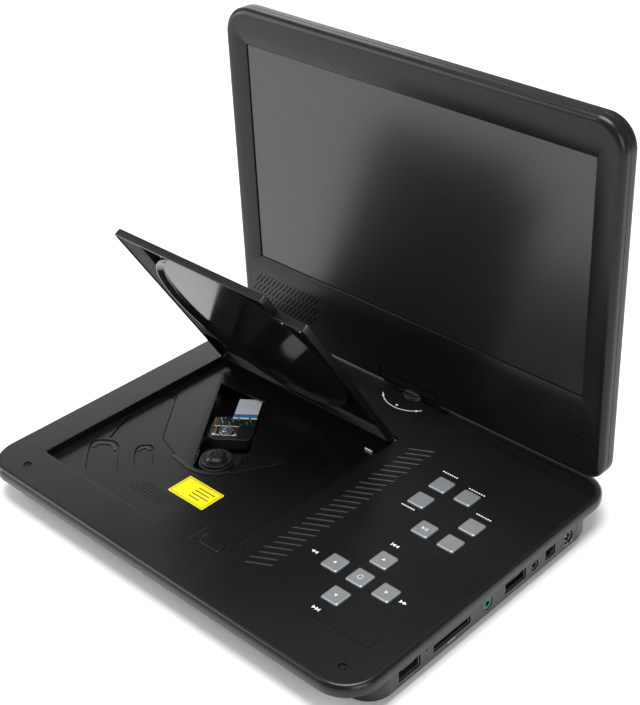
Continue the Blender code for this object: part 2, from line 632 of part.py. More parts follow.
# ---- screen lid ----
def lid_outline(inset, steps=8):
    return rounded_rect(-LID_HALF_W + inset, LID_HALF_W - inset, LID_Z0 + inset, LID_Z1 - inset,
                        LID_CORNER_R - inset * 0.8, steps, LID_LOW_CORNER_R - inset * 0.8)


def display_outline(margin, radius, steps=8):
    return rounded_rect(-DISPLAY_W / 2 - margin, DISPLAY_W / 2 + margin,
                        DISPLAY_Z0 - margin, DISPLAY_Z0 + DISPLAY_H + margin, radius, steps)


def hinge_notch():
    """The space in the lid that the hinge housing turns in."""
    barrel = cylinder(AXIS_Y, TILT_Z, NOTCH_R, -NOTCH_HALF, NOTCH_HALF, "x", 32)
    mouth = prism(rectangle(LID_FRONT - 5, LID_BACK + 5, LID_Z0 - 8, NOTCH_TOP), -NOTCH_HALF, NOTCH_HALF, "x")
    return barrel, mouth


def build_bezel(tilt):
    round_r = 4.5
    edge = []
    for step in range(6):
        a = math.radians(90 * step / 5)
        edge.append((lid_outline(round_r * (1 - math.cos(a))), LID_FRONT + round_r * (1 - math.sin(a))))
    layers = [(lid_outline(0), LID_SPLIT)] + edge + [
        (display_outline(FRAME_SLOPE, 3.0), LID_FRONT),
        (display_outline(0.2, 0.5), LID_FRONT + 2.0),
        (display_outline(0.2, 0.5), LID_FRONT + 2.8),
        (lid_outline(WALL), LID_FRONT + 2.8 + 1.6),
        (lid_outline(WALL), LID_SPLIT)]
    bezel = make("lid_bezel", loft(layers, "y", ring=True), "black_shell", smooth=40)
    for shape in hinge_notch():
        cut(bezel, shape)
    hang(bezel, tilt)


def build_back_cover(tilt):
    round_r = 7.0
    split = LID_SPLIT + 0.3
    edge = []
    for step in range(6):
        a = math.radians(90 * step / 5)
        edge.append((lid_outline(round_r * (1 - math.cos(a))), LID_BACK - round_r * (1 - math.sin(a))))
    layers = [(lid_outline(8.0), LID_BACK - 2.2), (lid_outline(WALL + 1.0), LID_BACK - 6.0),
              (lid_outline(WALL), split), (lid_outline(0), split)] + edge
    cover = make("lid_back_cover", loft(layers, "y"), "black_shell", smooth=40)
    for shape in hinge_notch():
        cut(cover, shape)
    hang(cover, tilt)


def hang(piece, empty):
    """Parent a piece drawn in the world's axes to an empty, with its origin on the empty."""
    place = empty_world(empty)
    piece.data.transform(Matrix.Translation(-place))
    for modifier in piece.modifiers:
        modifier.object.parent = empty
        modifier.object.data.transform(Matrix.Translation(-place))
    piece.parent = empty
    piece.location = (0, 0, 0)


def empty_world(empty):
    return empty.location + (empty_world(empty.parent) if empty.parent else Vector())


def build_lid():
    swivel = bpy.data.objects["swivel_axis"]
    tilt = axis_empty("lid_tilt_axis", (0, 0, TILT_Z - BASE_TOP), swivel)
    build_bezel(tilt)
    build_back_cover(tilt)
    hang(make("display_panel", prism(display_outline(6.0, 1.0, 1), LID_FRONT + 5.0, LID_FRONT + 9.0, "y"),
              "screen_glass"), tilt)
    hang(make("display_driver_board", box(-70, 70, 118.6, 120.2, 52, 80), "circuit_green"), tilt)
    for name, side in (("speaker_left", -1), ("speaker_right", 1)):
        outline = rounded_rect(side * 120 - 32, side * 120 + 32, 49, 79, 6, 3)
        hang(make(name, prism(outline, 115.4, 122.0, "y"), "mech_black"), tilt)
    build_hinge_leaf(tilt)


def build_hinge_leaf(tilt):
    """The tilt shaft with a leaf at each end that is screwed into the lid."""
    shaft = make("tilt_shaft", cylinder(AXIS_Y, TILT_Z, SHAFT_R, -56, 56, "x", 16), "steel", smooth=40)
    for side in (-1, 1):
        x0, x1 = sorted((side * 30, side * 54))
        add(shaft, box(x0, x1, AXIS_Y - 1.0, AXIS_Y + 1.0, TILT_Z - 1, TILT_Z + 9.5))
    hang(shaft, tilt)


def main():
    clear_scene()
    build_top_shell()
    build_bottom_shell()
    build_feet_and_screws()
    build_sockets()
    build_keys()
    build_release_button()
    build_boards()
    build_mechanism_cover()
    build_mechanism()
    build_label()
    build_door()
    build_swivel()
    build_lid()


main()
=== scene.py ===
"""Looks for a portable disc player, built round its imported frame.

Shapes are in millimetres, in the frame's own axes unless a placement says otherwise.
The player is drawn open: lid upright, disc door raised.
"""
import math

import bmesh
import bpy
from mathutils import Matrix, Vector


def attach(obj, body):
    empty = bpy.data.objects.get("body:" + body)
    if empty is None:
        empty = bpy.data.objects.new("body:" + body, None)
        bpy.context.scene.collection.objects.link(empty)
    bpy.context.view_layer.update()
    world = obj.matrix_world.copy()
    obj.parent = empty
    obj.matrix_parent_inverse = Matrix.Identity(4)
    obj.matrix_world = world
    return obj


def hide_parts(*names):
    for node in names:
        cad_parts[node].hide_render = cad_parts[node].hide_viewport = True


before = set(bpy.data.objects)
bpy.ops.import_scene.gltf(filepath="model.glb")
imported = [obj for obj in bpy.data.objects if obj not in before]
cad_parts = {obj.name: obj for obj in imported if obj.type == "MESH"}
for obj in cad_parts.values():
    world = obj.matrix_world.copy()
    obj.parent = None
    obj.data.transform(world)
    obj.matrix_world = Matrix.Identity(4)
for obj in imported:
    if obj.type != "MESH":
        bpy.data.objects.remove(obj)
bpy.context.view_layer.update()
MM = 0.001

# ---- sizes shared with the frame, in millimetres ----
HALF_W, FRONT, REAR, TOP = 170.5, -129.0, 124.5, 27.0
LOWER_FRONT, LOWER_REAR, SEAM_Z, WALL, RIM = -112.0, 104.5, 6.2, 2.2, 19.0
TRAY = (-143.1, 28.4, -97.0, 70.4)
TRAY_Z = 21.0
BLOCK_X, BLOCK_Y = 0.5, -79.5
SPINDLE = (-56.0, -22.0)
AXIS_Y, TILT_Z, BARREL_R = 119.5, 37.4, 8.6
LID_HALF, LID_Z0, LID_Z1 = 166.4, 31.5, 281.3
LID_FRONT, LID_SPLIT, LID_BACK = 110.4, 118.0, 129.0
SHOW_W, SHOW_H, SHOW_Z0 = 293.8, 165.2, 90.4
HINGE_Y, HINGE_Z = 67.4, 25.5
DOOR = (-141.7, 27.0, -162.8, -3.2)
DOOR_TOP, DOOR_LOW = 1.5, -4.0
KEY, KEY_TOP, PITCH, WIDE_PITCH = 13.3, 28.0, 20.8, 21.2
WALL_X = 169.7
BUMPERS = ((-140.1, -113.2), (149.5, -112.6))
MARK_R = 23.5  # the printed arc in front of the swivel
DOOR_OPEN, ROD_TURN = math.radians(-58.7), math.radians(127)
PICKUP_REACH, ROD_Z = 38.0, -7.0  # from the spindle, along the rods and down from the tray

DOOR_PLACE = Matrix.Translation((0, HINGE_Y, HINGE_Z)) @ Matrix.Rotation(DOOR_OPEN, 4, "X")
TRAVERSE = Matrix.Translation((*SPINDLE, TRAY_Z)) @ Matrix.Rotation(ROD_TURN, 4, "Z")
PICKUP = TRAVERSE @ Matrix.Translation((PICKUP_REACH, 0, ROD_Z))


# ---- outlines ----
def arc(cx, cy, radius, start, stop, steps):
    turn = [math.radians(start + (stop - start) * i / steps) for i in range(steps + 1)]
    return [(cx + radius * math.cos(a), cy + radius * math.sin(a)) for a in turn]


def circle(cx, cy, radius, steps=48):
    return arc(cx, cy, radius, 0, 360, steps)[:-1]


def rectangle(x0, x1, y0, y1):
    return [(x1, y1), (x0, y1), (x0, y0), (x1, y0)]


def rounded(x0, x1, y0, y1, radius, steps=6, low=None):
    """A rounded rectangle; low is the radius of the two lower corners when it differs."""
    r = radius
    q = r if low is None else low
    return (arc(x1 - r, y1 - r, r, 0, 90, steps) + arc(x0 + r, y1 - r, r, 90, 180, steps)
            + arc(x0 + q, y0 + q, q, 180, 270, steps) + arc(x1 - q, y0 + q, q, 270, 360, steps))


def grown(outline, distance):
    """An outline pushed outwards by a distance; each corner keeps its own angle."""
    result = []
    for i, here in enumerate(outline):
        before, here, after = Vector(outline[i - 1]), Vector(here), Vector(outline[(i + 1) % len(outline)])
        first, second = (here - before).normalized(), (after - here).normalized()
        out = Vector((first.y + second.y, -first.x - second.x))
        result.append(tuple(here + out * (2 * distance / out.length_squared)))
    return result


def stroke(points, width):
    """The outline of a band of that width along some points."""
    sides = []
    for i, here in enumerate(points):
        before, after = Vector(points[max(i - 1, 0)]), Vector(points[min(i + 1, len(points) - 1)])
        along = (after - before).normalized()
        across = Vector((-along.y, along.x)) * width / 2
        sides.append((tuple(Vector(here) + across), tuple(Vector(here) - across)))
    return [left for left, _ in sides] + [right for _, right in reversed(sides)]


def notched(x0, x1, y0, y1, cut_x, cut_y, r, steps=4):
    """A rounded rectangle without its front right corner."""
    return (arc(x1 - r, y1 - r, r, 0, 90, steps) + arc(x0 + r, y1 - r, r, 90, 180, steps)
            + arc(x0 + r, y0 + r, r, 180, 270, steps) + arc(cut_x - r, y0 + r, r, 270, 360, steps)
            + [(cut_x, cut_y)] + arc(x1 - r, cut_y + r, r, 270, 360, steps))


# ---- shapes: (vertices, faces) ----
AXES = {"z": lambda a, b, c: (a, b, c), "y": lambda a, b, c: (a, c, b), "x": lambda a, b, c: (c, a, b)}


def loft(layers, axis="z", ring=False):
    place, count = AXES[axis], len(layers[0][0])
    verts = [place(a, b, height) for outline, height in layers for a, b in outline]
    faces = []
    for layer in range(len(layers) if ring else len(layers) - 1):
        low, high = layer * count, (layer + 1) % len(layers) * count
        faces += [(low + i, low + (i + 1) % count, high + (i + 1) % count, high + i)
                  for i in range(count)]
    if not ring:
        faces += [tuple(reversed(range(count))),
                  tuple(range((len(layers) - 1) * count, len(layers) * count))]
    return verts, faces


def prism(outline, low, high, axis="z"):
    return loft([(outline, low), (outline, high)], axis)


def cylinder(a, b, radius, low, high, axis="z", steps=32):
    return prism(circle(a, b, radius, steps), low, high, axis)


def turned(a, b, profile, axis="z", steps=48):
    return loft([(circle(a, b, radius, steps), height) for radius, height in profile], axis)


def slab(outline, low, high, edge=0.3, axis="z"):
    """A flat piece whose upper edge is softened in three steps."""
    layers = [(outline, low), (outline, high - edge)]
    layers += [(grown(outline, -edge * (1 - math.cos(a))), high - edge * (1 - math.sin(a)))
               for a in (0.52, 1.05, 1.57)]
    return loft(layers, axis)


def sunk(outline, floor, top, flare=0.35):
    """A cutter for a pocket whose mouth is softened; top is the face that it opens in."""
    return loft([(outline, floor), (outline, top - flare),
                 (grown(outline, flare * 0.3), top - flare * 0.3),
                 (grown(outline, flare), top), (grown(outline, flare), top + 4)])


def box(x0, x1, y0, y1, z0, z1):
    return prism(rectangle(x0, x1, y0, y1), z0, z1)


def merged(*shapes):
    verts, faces = [], []
    for shape_verts, shape_faces in shapes:
        start = len(verts)
        verts += shape_verts
        faces += [tuple(start + i for i in face) for face in shape_faces]
    return verts, faces


def placed(shape, matrix):
    return [tuple(matrix @ Vector(v)) for v in shape[0]], shape[1]


# ---- materials ----
def graph(name):
    made = bpy.data.materials.new(name)
    made.use_nodes = True
    nodes, links = made.node_tree.nodes, made.node_tree.links
    return made, nodes, links, nodes["Principled BSDF"]


def node(nodes, kind, **values):
    made = nodes.new(kind)
    for key, value in values.items():
        if key in made.inputs:
            made.inputs[key].default_value = value
        else:
            setattr(made, key, value)
    return made


def spread(nodes, links, source, low, high):
    """Maps a 0 to 1 value to a range."""
    mapped = node(nodes, "ShaderNodeMapRange")
    mapped.inputs["To Min"].default_value = low
    mapped.inputs["To Max"].default_value = high
    links.new(source, mapped.inputs["Value"])
    return mapped.outputs["Result"]


def moulded(name, color, rough, specular=0.5, metallic=0.0, grain=900, bump=0.03, vary=0.15, wear=0.05,
            stretch=(1, 1, 1)):
    """A painted or moulded surface: cloudy colour, cloudy roughness and a fine grain."""
    made, nodes, links, shader = graph(name)
    where = node(nodes, "ShaderNodeTexCoord")
    mapping = node(nodes, "ShaderNodeMapping")
    mapping.inputs["Scale"].default_value = stretch
    links.new(where.outputs["Object"], mapping.inputs["Vector"])
    cloud = node(nodes, "ShaderNodeTexNoise", Scale=14.0, Detail=4.0)
    fine = node(nodes, "ShaderNodeTexNoise", Scale=float(grain), Detail=2.0)
    links.new(where.outputs["Object"], cloud.inputs["Vector"])
    links.new(mapping.outputs["Vector"], fine.inputs["Vector"])
    ramp = node(nodes, "ShaderNodeValToRGB")
    ramp.color_ramp.elements[0].position, ramp.color_ramp.elements[1].position = 0.3, 0.7
    ramp.color_ramp.elements[0].color = (*[c * (1 - vary) for c in color], 1)
    ramp.color_ramp.elements[1].color = (*[min(c * (1 + vary), 1) for c in color], 1)
    links.new(cloud.outputs["Fac"], ramp.inputs["Fac"])
    links.new(ramp.outputs["Color"], shader.inputs["Base Color"])
    links.new(spread(nodes, links, cloud.outputs["Fac"], rough - wear, rough + wear),
              shader.inputs["Roughness"])
    relief = node(nodes, "ShaderNodeBump", Strength=bump, Distance=0.0002)
    links.new(fine.outputs["Fac"], relief.inputs["Height"])
    links.new(relief.outputs["Normal"], shader.inputs["Normal"])
    shader.inputs["Metallic"].default_value = metallic
    shader.inputs["Specular IOR Level"].default_value = specular
    return made


MATERIALS = {
    "shell": moulded("shell_plastic", (0.0040, 0.0040, 0.0043), 0.26, specular=0.30, bump=0.10),
    "lid": moulded("lid_plastic", (0.0040, 0.0040, 0.0042), 0.30, specular=0.28, bump=0.10),
    "tray": moulded("tray_plastic", (0.0050, 0.0050, 0.0053), 0.26, specular=0.34, bump=0.10),
    # Rib finish: a uniform colour a little lighter than the shell plastic, which is a painted highlight for
    # the light that the ridges catch; its lower roughness and higher specular are real gloss.
    "rib": moulded("rib_plastic_painted_highlight", (0.0075, 0.0075, 0.008), 0.30, specular=0.45, bump=0.06),
    "gloss": moulded("gloss_plastic", (0.006, 0.006, 0.006), 0.10, specular=0.1, grain=300, bump=0.01,
                     wear=0.02),
    "matte": moulded("matte_plastic", (0.008, 0.008, 0.008), 0.65, specular=0.15, bump=0.3, grain=400),
    "mech": moulded("mechanism_plastic", (0.008, 0.008, 0.009), 0.4, specular=0.4),
    "key": moulded("key_paint", (0.225, 0.235, 0.24), 0.34, specular=0.5, metallic=0.55, grain=2600,
                   bump=0.15, vary=0.04),
    "rubber": moulded("foot_rubber", (0.007, 0.007, 0.007), 0.85, specular=0.15, bump=0.4, grain=600),
    "steel": moulded("bright_steel", (0.56, 0.57, 0.58), 0.26, metallic=1.0, grain=500, bump=0.08,
                     stretch=(1, 12, 1)),
    "dark_metal": moulded("coated_steel", (0.05, 0.05, 0.055), 0.4, metallic=0.7),
    "board": moulded("solder_mask", (0.005, 0.018, 0.010), 0.35, grain=240, bump=0.2, vary=0.35),
    "yellow": moulded("label_film", (0.62, 0.53, 0.004), 0.6, specular=0.12, grain=300, bump=0.05,
                      vary=0.03),
    "ink": moulded("label_ink", (0.03, 0.028, 0.01), 0.5, vary=0.1),
    "print": moulded("white_print", (0.62, 0.63, 0.62), 0.6, vary=0.12, grain=1500, bump=0.2),
    "grey_print": moulded("grey_print", (0.30, 0.30, 0.30), 0.6, vary=0.12, grain=1500, bump=0.2),
    "key_print": moulded("key_print", (0.46, 0.47, 0.48), 0.5, vary=0.08, grain=1500, bump=0.2),
    "ribbon": moulded("ribbon_film", (0.70, 0.73, 0.76), 0.4, grain=200, bump=0.05, vary=0.05),
    "ribbon_blue": moulded("ribbon_stiffener", (0.02, 0.22, 0.52), 0.35, grain=200, bump=0.05),
    "green": moulded("socket_green", (0.004, 0.16, 0.10), 0.35, vary=0.08),
    "wrap": moulded("battery_wrap", (0.03, 0.06, 0.14), 0.35, bump=0.1, grain=120),
    "lens": moulded("pickup_lens", (0.16, 0.17, 0.19), 0.10, specular=1.0, metallic=0.5, bump=0.0,
                    wear=0.01),
    "copper": moulded("gold_contacts", (0.75, 0.52, 0.22), 0.3, metallic=1.0),
    "amber": moulded("flex_film", (0.07, 0.032, 0.012), 0.3, grain=200, bump=0.05),
    "white_part": moulded("white_moulding", (0.70, 0.70, 0.66), 0.5, grain=500, bump=0.1),
}


def display_material():
    """A switched-off display: near black, with a finely grained surface."""
    made, nodes, links, shader = graph("display_surface")
    where = node(nodes, "ShaderNodeTexCoord")
    fine = node(nodes, "ShaderNodeTexNoise", Scale=5000.0, Detail=1.0)
    links.new(where.outputs["Object"], fine.inputs["Vector"])
    relief = node(nodes, "ShaderNodeBump", Strength=0.03, Distance=0.00005)
    links.new(fine.outputs["Fac"], relief.inputs["Height"])
    links.new(relief.outputs["Normal"], shader.inputs["Normal"])
    links.new(spread(nodes, links, fine.outputs["Fac"], 0.25, 0.29), shader.inputs["Roughness"])
    shader.inputs["Base Color"].default_value = (0.010, 0.010, 0.011, 1)
    shader.inputs["Specular IOR Level"].default_value = 0.65
    return made


MATERIALS["display"] = display_material()


# ---- pieces ----
def mesh_of(name, shape):
    mesh = bpy.data.meshes.new(name)
    mesh.from_pydata([Vector(v) * MM for v in shape[0]], [], shape[1])
    work = bmesh.new()
    work.from_mesh(mesh)
    bmesh.ops.recalc_face_normals(work, faces=work.faces)
    work.to_mesh(mesh)
    work.free()
    return mesh


def piece(name, body, finish, shape, place=None, stands_for=(), cuts=(), adds=(), sharp=35):
    """One visible piece. cuts and adds are lists of shapes, each list applied in one go."""
    def put(s):
        return placed(s, place) if place is not None else s
    item = bpy.data.objects.new(name, mesh_of(name, put(shape)))
    bpy.context.scene.collection.objects.link(item)
    for operation, shapes in [("UNION", a) for a in adds] + [("DIFFERENCE", c) for c in cuts]:
        apply_boolean(item, put(merged(*shapes)), operation)
    item.data.materials.clear()
    item.data.materials.append(MATERIALS[finish])
    item.data.shade_smooth()
    item.data.set_sharp_from_angle(angle=math.radians(sharp))
    weigh = item.modifiers.new("weighted", "WEIGHTED_NORMAL")
    weigh.keep_sharp = True
    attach(item, body)
    if stands_for:
        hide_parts(*([stands_for] if isinstance(stands_for, str) else stands_for))
    return item


def apply_boolean(item, shape, operation):
    tool = bpy.data.objects.new("tool", mesh_of("tool", shape))
    bpy.context.scene.collection.objects.link(tool)
    change = item.modifiers.new("change", "BOOLEAN")
    change.operation, change.object, change.solver = operation, tool, "MANIFOLD"
    bpy.context.view_layer.update()
    result = bpy.data.meshes.new_from_object(item.evaluated_get(bpy.context.evaluated_depsgraph_get()))
    item.modifiers.clear()
    old, item.data = item.data, result
    bpy.data.meshes.remove(old)
    bpy.data.objects.remove(tool, do_unlink=True)


def keep(node_name, finish):
    """A CAD node that is shown as it is, with a full material."""
    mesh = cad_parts[node_name].data
    mesh.materials.clear()
    mesh.materials.append(MATERIALS[finish])


# ---- base ----
def base_outline(side, rear=None, steps=20):
    rear = side if rear is None else rear
    return rounded(-HALF_W + side, HALF_W - side, FRONT + side, REAR - rear, max(24.0 - side, 1.0), steps)


def lower_outline(inset, steps=20):
    """The plan of the body under the rim."""
    return rounded(-WALL_X + inset, WALL_X - inset, LOWER_FRONT + inset, LOWER_REAR - inset, 23.2 - inset,
                   steps, 17.0 - inset)


def tray_outline(inset, r=3.0):
    x0, x1, y0, y1 = TRAY
    return notched(x0 + inset, x1 - inset, y0 + inset, y1 - inset, BLOCK_X - inset, BLOCK_Y + inset, r)


COVER = [(-139.5, 17.0), (-101.7, -30.0), (-64.0, -42.0), (-53.6, -41.2), (-42.0, -36.4), (-36.0, -26.4),
         (-19.6, 0.0), (-16.0, 11.0), (-22.0, 30.0), (-36.0, 52.0), (-139.5, 52.0)]
NAV = {"key_nav_centre": (0, 0), "key_nav_left": (-1, 0), "key_nav_right": (1, 0), "key_nav_up": (0, 1),
       "key_nav_down": (0, -1)}
RING = [(0, 2), (0, 1), (1, 2), (1, 0), (2, 1), (2, 0)]
KEYS = [(n, 106.8 + i * PITCH, -52.6 + j * PITCH) for n, (i, j) in NAV.items()]
KEYS += [(f"key_function_{n + 1}", 85.1 + i * WIDE_PITCH, 6.6 + j * PITCH) for n, (i, j) in enumerate(RING)]
SOCKETS = {  # name: y, z, width, height, round
    "dc_inlet": (72.4, 13.6, 9.0, 9.0, True), "power_switch_frame": (53.5, 13.8, 9.6, 6.8, False),
    "av_socket": (37.2, 13.5, 6.8, 6.8, True), "video_socket": (18.0, 13.8, 20.0, 7.4, False),
    "headphone_socket": (-8.8, 13.6, 7.8, 7.8, True), "card_slot": (-42.3, 13.2, 33.0, 4.8, False),
    "usb_socket": (-79.6, 13.8, 18.0, 7.6, False)}


def key_square(x, y, grow, radius=1.3):
    h = KEY / 2 + grow
    return rounded(x - h, x + h, y - h, y + h, radius, 4)


def base_shell():
    """The rounded top, the rim that overhangs the lower body, the tray and all its openings."""
    layers = []
    for step in range(11):
        a = math.radians(90 * step / 10)
        layers.append((base_outline(3.2 * (1 - math.sin(a)), 10.0 * (1 - math.sin(a))),
                       TOP - 4.4 * (1 - math.cos(a))))
    layers += [(base_outline(0), RIM + 0.8), (base_outline(0.15), RIM + 0.3), (base_outline(0.5), RIM),
               (lower_outline(0), RIM), (lower_outline(0), SEAM_Z + 0.3),
               (lower_outline(WALL), SEAM_Z + 0.3), (lower_outline(WALL), TOP - 2.0)]
    adds = [[prism(tray_outline(-2.0), TRAY_Z - 2.0, TOP - 1.0)],
            [cylinder(0, AXIS_Y, 9.5, 11, TOP, steps=64)]]
    tray_cut = loft([(tray_outline(0), TRAY_Z), (tray_outline(0), TOP - 0.5),
                     (tray_outline(-0.12), TOP - 0.2), (tray_outline(-0.5), TOP),
                     (tray_outline(-0.5), TOP + 4)])
    small = [sunk(key_square(x, y, 0.35), 20.0, TOP, 0.3) for _, x, y in KEYS]
    small.append(sunk(rounded(5.55, 24.55, -92.95, -83.35, 2.35, 5), 10.0, TOP, 0.3))
    small.append(prism(grown(COVER, 0.35), 10, TRAY_Z + 0.5))
    small.append(cylinder(0, AXIS_Y, 5.3, 5, 40))
    cuts = [[tray_cut], small, side_cuts()] + [[groove] for groove in grooves()]
    piece("base_shell", "base", "shell", loft(layers), stands_for="base_top_shell", adds=adds, cuts=cuts)


def side_cuts():
    """Holes in the right wall for the sockets, and the pinhole."""
    cuts = []
    for y, z, width, height, is_round in SOCKETS.values():
        x0, x1 = WALL_X - 6, WALL_X + 6
        if is_round:
            cuts.append(cylinder(y, z, width / 2 + 0.3, x0, x1, "x", 40))
        else:
            w, h = width / 2 + 0.3, height / 2 + 0.3
            cuts.append(prism(rounded(y - w, y + w, z - h, z + h, 0.6, 3), x0, x1, "x"))
    cuts.append(cylinder(-65.1, 17.0, 0.7, WALL_X - 6, WALL_X + 6, "x", 16))
    return cuts


HOOKS = [[(-114, -86), (-133.5, -67), (-133, -60), (-124, -54.6), (-115, -58), (-96, -73.6)],
         [(-92, -63), (-105.4, -50), (-104.5, -43.6), (-98, -42), (-82.5, -54.7)]]
SHRUNK_HOOKS = [[(x + (cx - x) * 0.22, y + (cy - y) * 0.22) for x, y in hook]
                for hook, (cx, cy) in zip(HOOKS, ((-117, -70), (-95, -53)))]


def smooth_path(points, steps=6):
    """Points along a Catmull-Rom curve."""
    ends = [points[0]] + points + [points[-1]]
    result = []
    for i in range(1, len(ends) - 2):
        p0, p1, p2, p3 = [Vector(p) for p in ends[i - 1:i + 3]]
        for s in range(steps):
            t = s / steps
            result.append(tuple(0.5 * ((2 * p1) + (p2 - p0) * t + (2 * p0 - 5 * p1 + 4 * p2 - p3) * t * t
                                       + (3 * p1 - p0 - 3 * p2 + p3) * t ** 3)))
    return result + [tuple(points[-1])]


def grooves():
    """Shallow lines in the tray and the base top, and the bumpers' pockets."""
    floor = TRAY_Z - 1.2
    lines = [smooth_path(HOOKS[0]), smooth_path(HOOKS[1]),
             [(-130.0, -53.0), (-135.5, -40.5), (-139.6, -28.4)],
             [(-141.0, 9.6), (-132.0, 11.4)], [(-141.0, 6.6), (-133.0, 8.0)]]
    cuts = [prism(stroke(line, 1.5), floor, TRAY_Z + 1) for line in lines]
    corner = [(107, -94.4), (147.6, -93.0)] + arc(147.9, -90.4, 2.7, 290, 360, 5) + [(150.6, -83.2)]
    cuts.append(prism(stroke(corner, 0.5), TOP - 0.3, TOP + 1))
    for k in range(4):
        path = smooth_path([(41.5 + k, -91.4 + 4.2 * k), (34 + k, -89 + 4.4 * k),
                            (30, -85.5 + 4.6 * k)])
        cuts.append(prism(stroke(path, 0.55), TOP - 0.35, TOP + 1))
    for x, y in BUMPERS:
        cuts.append(cylinder(x, y, 2.7, TOP - 1.2, TOP + 1))
    return cuts


def base_details():
    """The ribbed band, the tray's mouldings, the spring clip, the bumpers and the print."""
    ribs = []
    count, first, last = 26, -88.0, 64.5
    lean = 8.2 / 15.4
    for i in range(count):
        y = first + (last - first) * i / (count - 1)
        out = 1.4 if i % 2 else 0.0
        x0, x1 = 43.5 - out, 59.5 - out
        for width, low, high in ((2.5, TOP - 0.3, TOP + 0.3), (0.9, TOP + 0.2, TOP + 0.75)):
            outline = [(x1, y + (x1 - 43.5) * lean + width), (x0, y + (x0 - 43.5) * lean + width),
                       (x0, y + (x0 - 43.5) * lean), (x1, y + (x1 - 43.5) * lean)]
            ribs.append(slab(outline, low, high, 0.35))
    # The ribs take the rib finish, whose lighter colour is a painted highlight.
    piece("ribbed_band", "base", "rib", merged(*ribs))
    ridges = [slab(stroke(smooth_path(h[1:-1]), 1.1), TRAY_Z - 0.3, TRAY_Z + 0.45, 0.35)
              for h in SHRUNK_HOOKS]
    band = smooth_path([(-80, -38.6), (-64, -40.6), (-53.6, -39.8), (-43.2, -34.8), (-37.2, -27)])
    ridges.append(slab(stroke(band, 2.2), TRAY_Z - 0.1, TRAY_Z + 0.45, 0.4))
    # The tray mouldings take the rib finish too, so their lighter colour is a painted highlight.
    piece("tray_mouldings", "base", "rib", merged(*ridges))
    hatch = [slab(stroke([(-80 + 2.2 * k, -79.5 + 2.5 * k), (-47 + 2.2 * k, -79.5 + 2.5 * k)], 0.8),
                  TRAY_Z - 0.2, TRAY_Z + 0.12, 0.06) for k in range(5)]
    piece("tray_hatching", "base", "matte", merged(*hatch))
    clip = [slab(rounded(13.4, 20.6, 50.8, 53.2, 0.5, 3), TRAY_Z - 0.1, TRAY_Z + 1.6, 0.4)]
    piece("door_spring_clip", "base", "steel", merged(*clip))
    pads = [turned(x, y, [(2.0, TOP - 1.3), (2.0, TOP - 0.5), (1.7, TOP - 0.3), (0.4, TOP - 0.25)],
                   steps=32) for x, y in BUMPERS]
    piece("lid_bumpers", "base", "rubber", merged(*pads))
    swivel_marks()
    key_marks()


def swivel_marks():
    band = stroke(arc(0, AXIS_Y, MARK_R, 218, 322, 30), 0.5)
    shapes = [prism(band, TOP - 0.05, TOP + 0.05)]
    for angle in (228, 312):
        a = math.radians(angle)
        dot = circle(MARK_R * math.cos(a), AXIS_Y + MARK_R * math.sin(a), 0.85, 16)
        shapes.append(prism(dot, TOP - 0.05, TOP + 0.06))
    shapes.append(prism([(0.0, 97.6), (-1.0, 99.6), (1.0, 99.6)], TOP - 0.05, TOP + 0.06))
    piece("swivel_marks", "base", "print", merged(*shapes))


def key_marks():
    """Plain dashes and arrows that stand for the words beside keys and sockets."""
    bars = [(75.7, 88.9, 60.7), (100.5, 114.4, 57.4), (77.7, 89.0, 17.2), (120.8, 133.2, 40.1)]
    shapes = []
    for x0, x1, y in bars:
        count = 7
        step = (x1 - x0) / count
        for i in range(count):
            shapes.append(prism(rounded(x0 + i * step, x0 + (i + 0.6) * step, y - 0.5, y + 0.5, 0.2, 2),
                                TOP - 0.05, TOP + 0.04))
    for cx, cy, sign, bar in ((69.5, -52.6, -1, False), (103.6, -16.7, -1, True), (104, -88.5, 1, True),
                              (139.8, -52.2, 1, False)):
        for k in (-1.6, 1.0):
            tip = cx + sign * (k + 2.4)
            shapes.append(prism([(tip, cy), (tip - sign * 2.4, cy + 1.3), (tip - sign * 2.4, cy - 1.3)],
                                TOP - 0.05, TOP + 0.04))
        if bar:
            x = cx + sign * 3.7
            shapes.append(prism(rectangle(x - 0.3, x + 0.3, cy - 1.3, cy + 1.3), TOP - 0.05, TOP + 0.04))
    piece("key_marks", "base", "print", merged(*shapes))
    wall = [(y, 9.0, w) for y, w in ((-46.0, 1.6), (-43.6, 1.6), (-41.2, 1.6),
                                     (69.4, 1.2), (71.4, 1.2), (75.2, 1.8))]
    dashes = [prism(rounded(y, y + w, z - 0.45, z + 0.45, 0.2, 2), WALL_X - 0.05, WALL_X + 0.04, "x")
              for y, z, w in wall]
    piece("socket_marks", "base", "grey_print", merged(*dashes))


def bottom_shell():
    edge = [(0, SEAM_Z), (0.4, 5.6), (1.0, 4.9), (1.9, 4.1), (3.0, 3.4), (4.1, 2.95), (5.2, 2.65),
            (5.9, 2.54), (6.5, 2.5)]
    layers = [(lower_outline(7.2), 4.5), (lower_outline(3.0), 5.3), (lower_outline(WALL), SEAM_Z)]
    layers += [(lower_outline(inset), height) for inset, height in edge]
    slots = [prism(rounded(40 + 9 * i, 43 + 9 * i, -20, 40, 1.4, 4), -5, 5.5) for i in range(8)]
    outer, inner = rounded(-120, -20, -80, 60, 6, 5), rounded(-119.3, -20.7, -79.3, 59.3, 5.3, 5)
    panel = [loft([(outer, 1), (outer, 2.9), (inner, 2.9), (inner, 1)], ring=True)]
    wells = [cylinder(x, y, 2.95, -5, 3.6, steps=24) for x in (-153, 153) for y in (-98, 86)]
    piece("bottom_shell", "base", "shell", loft(layers), stands_for="base_bottom_shell",
          cuts=[slots, panel, wells])


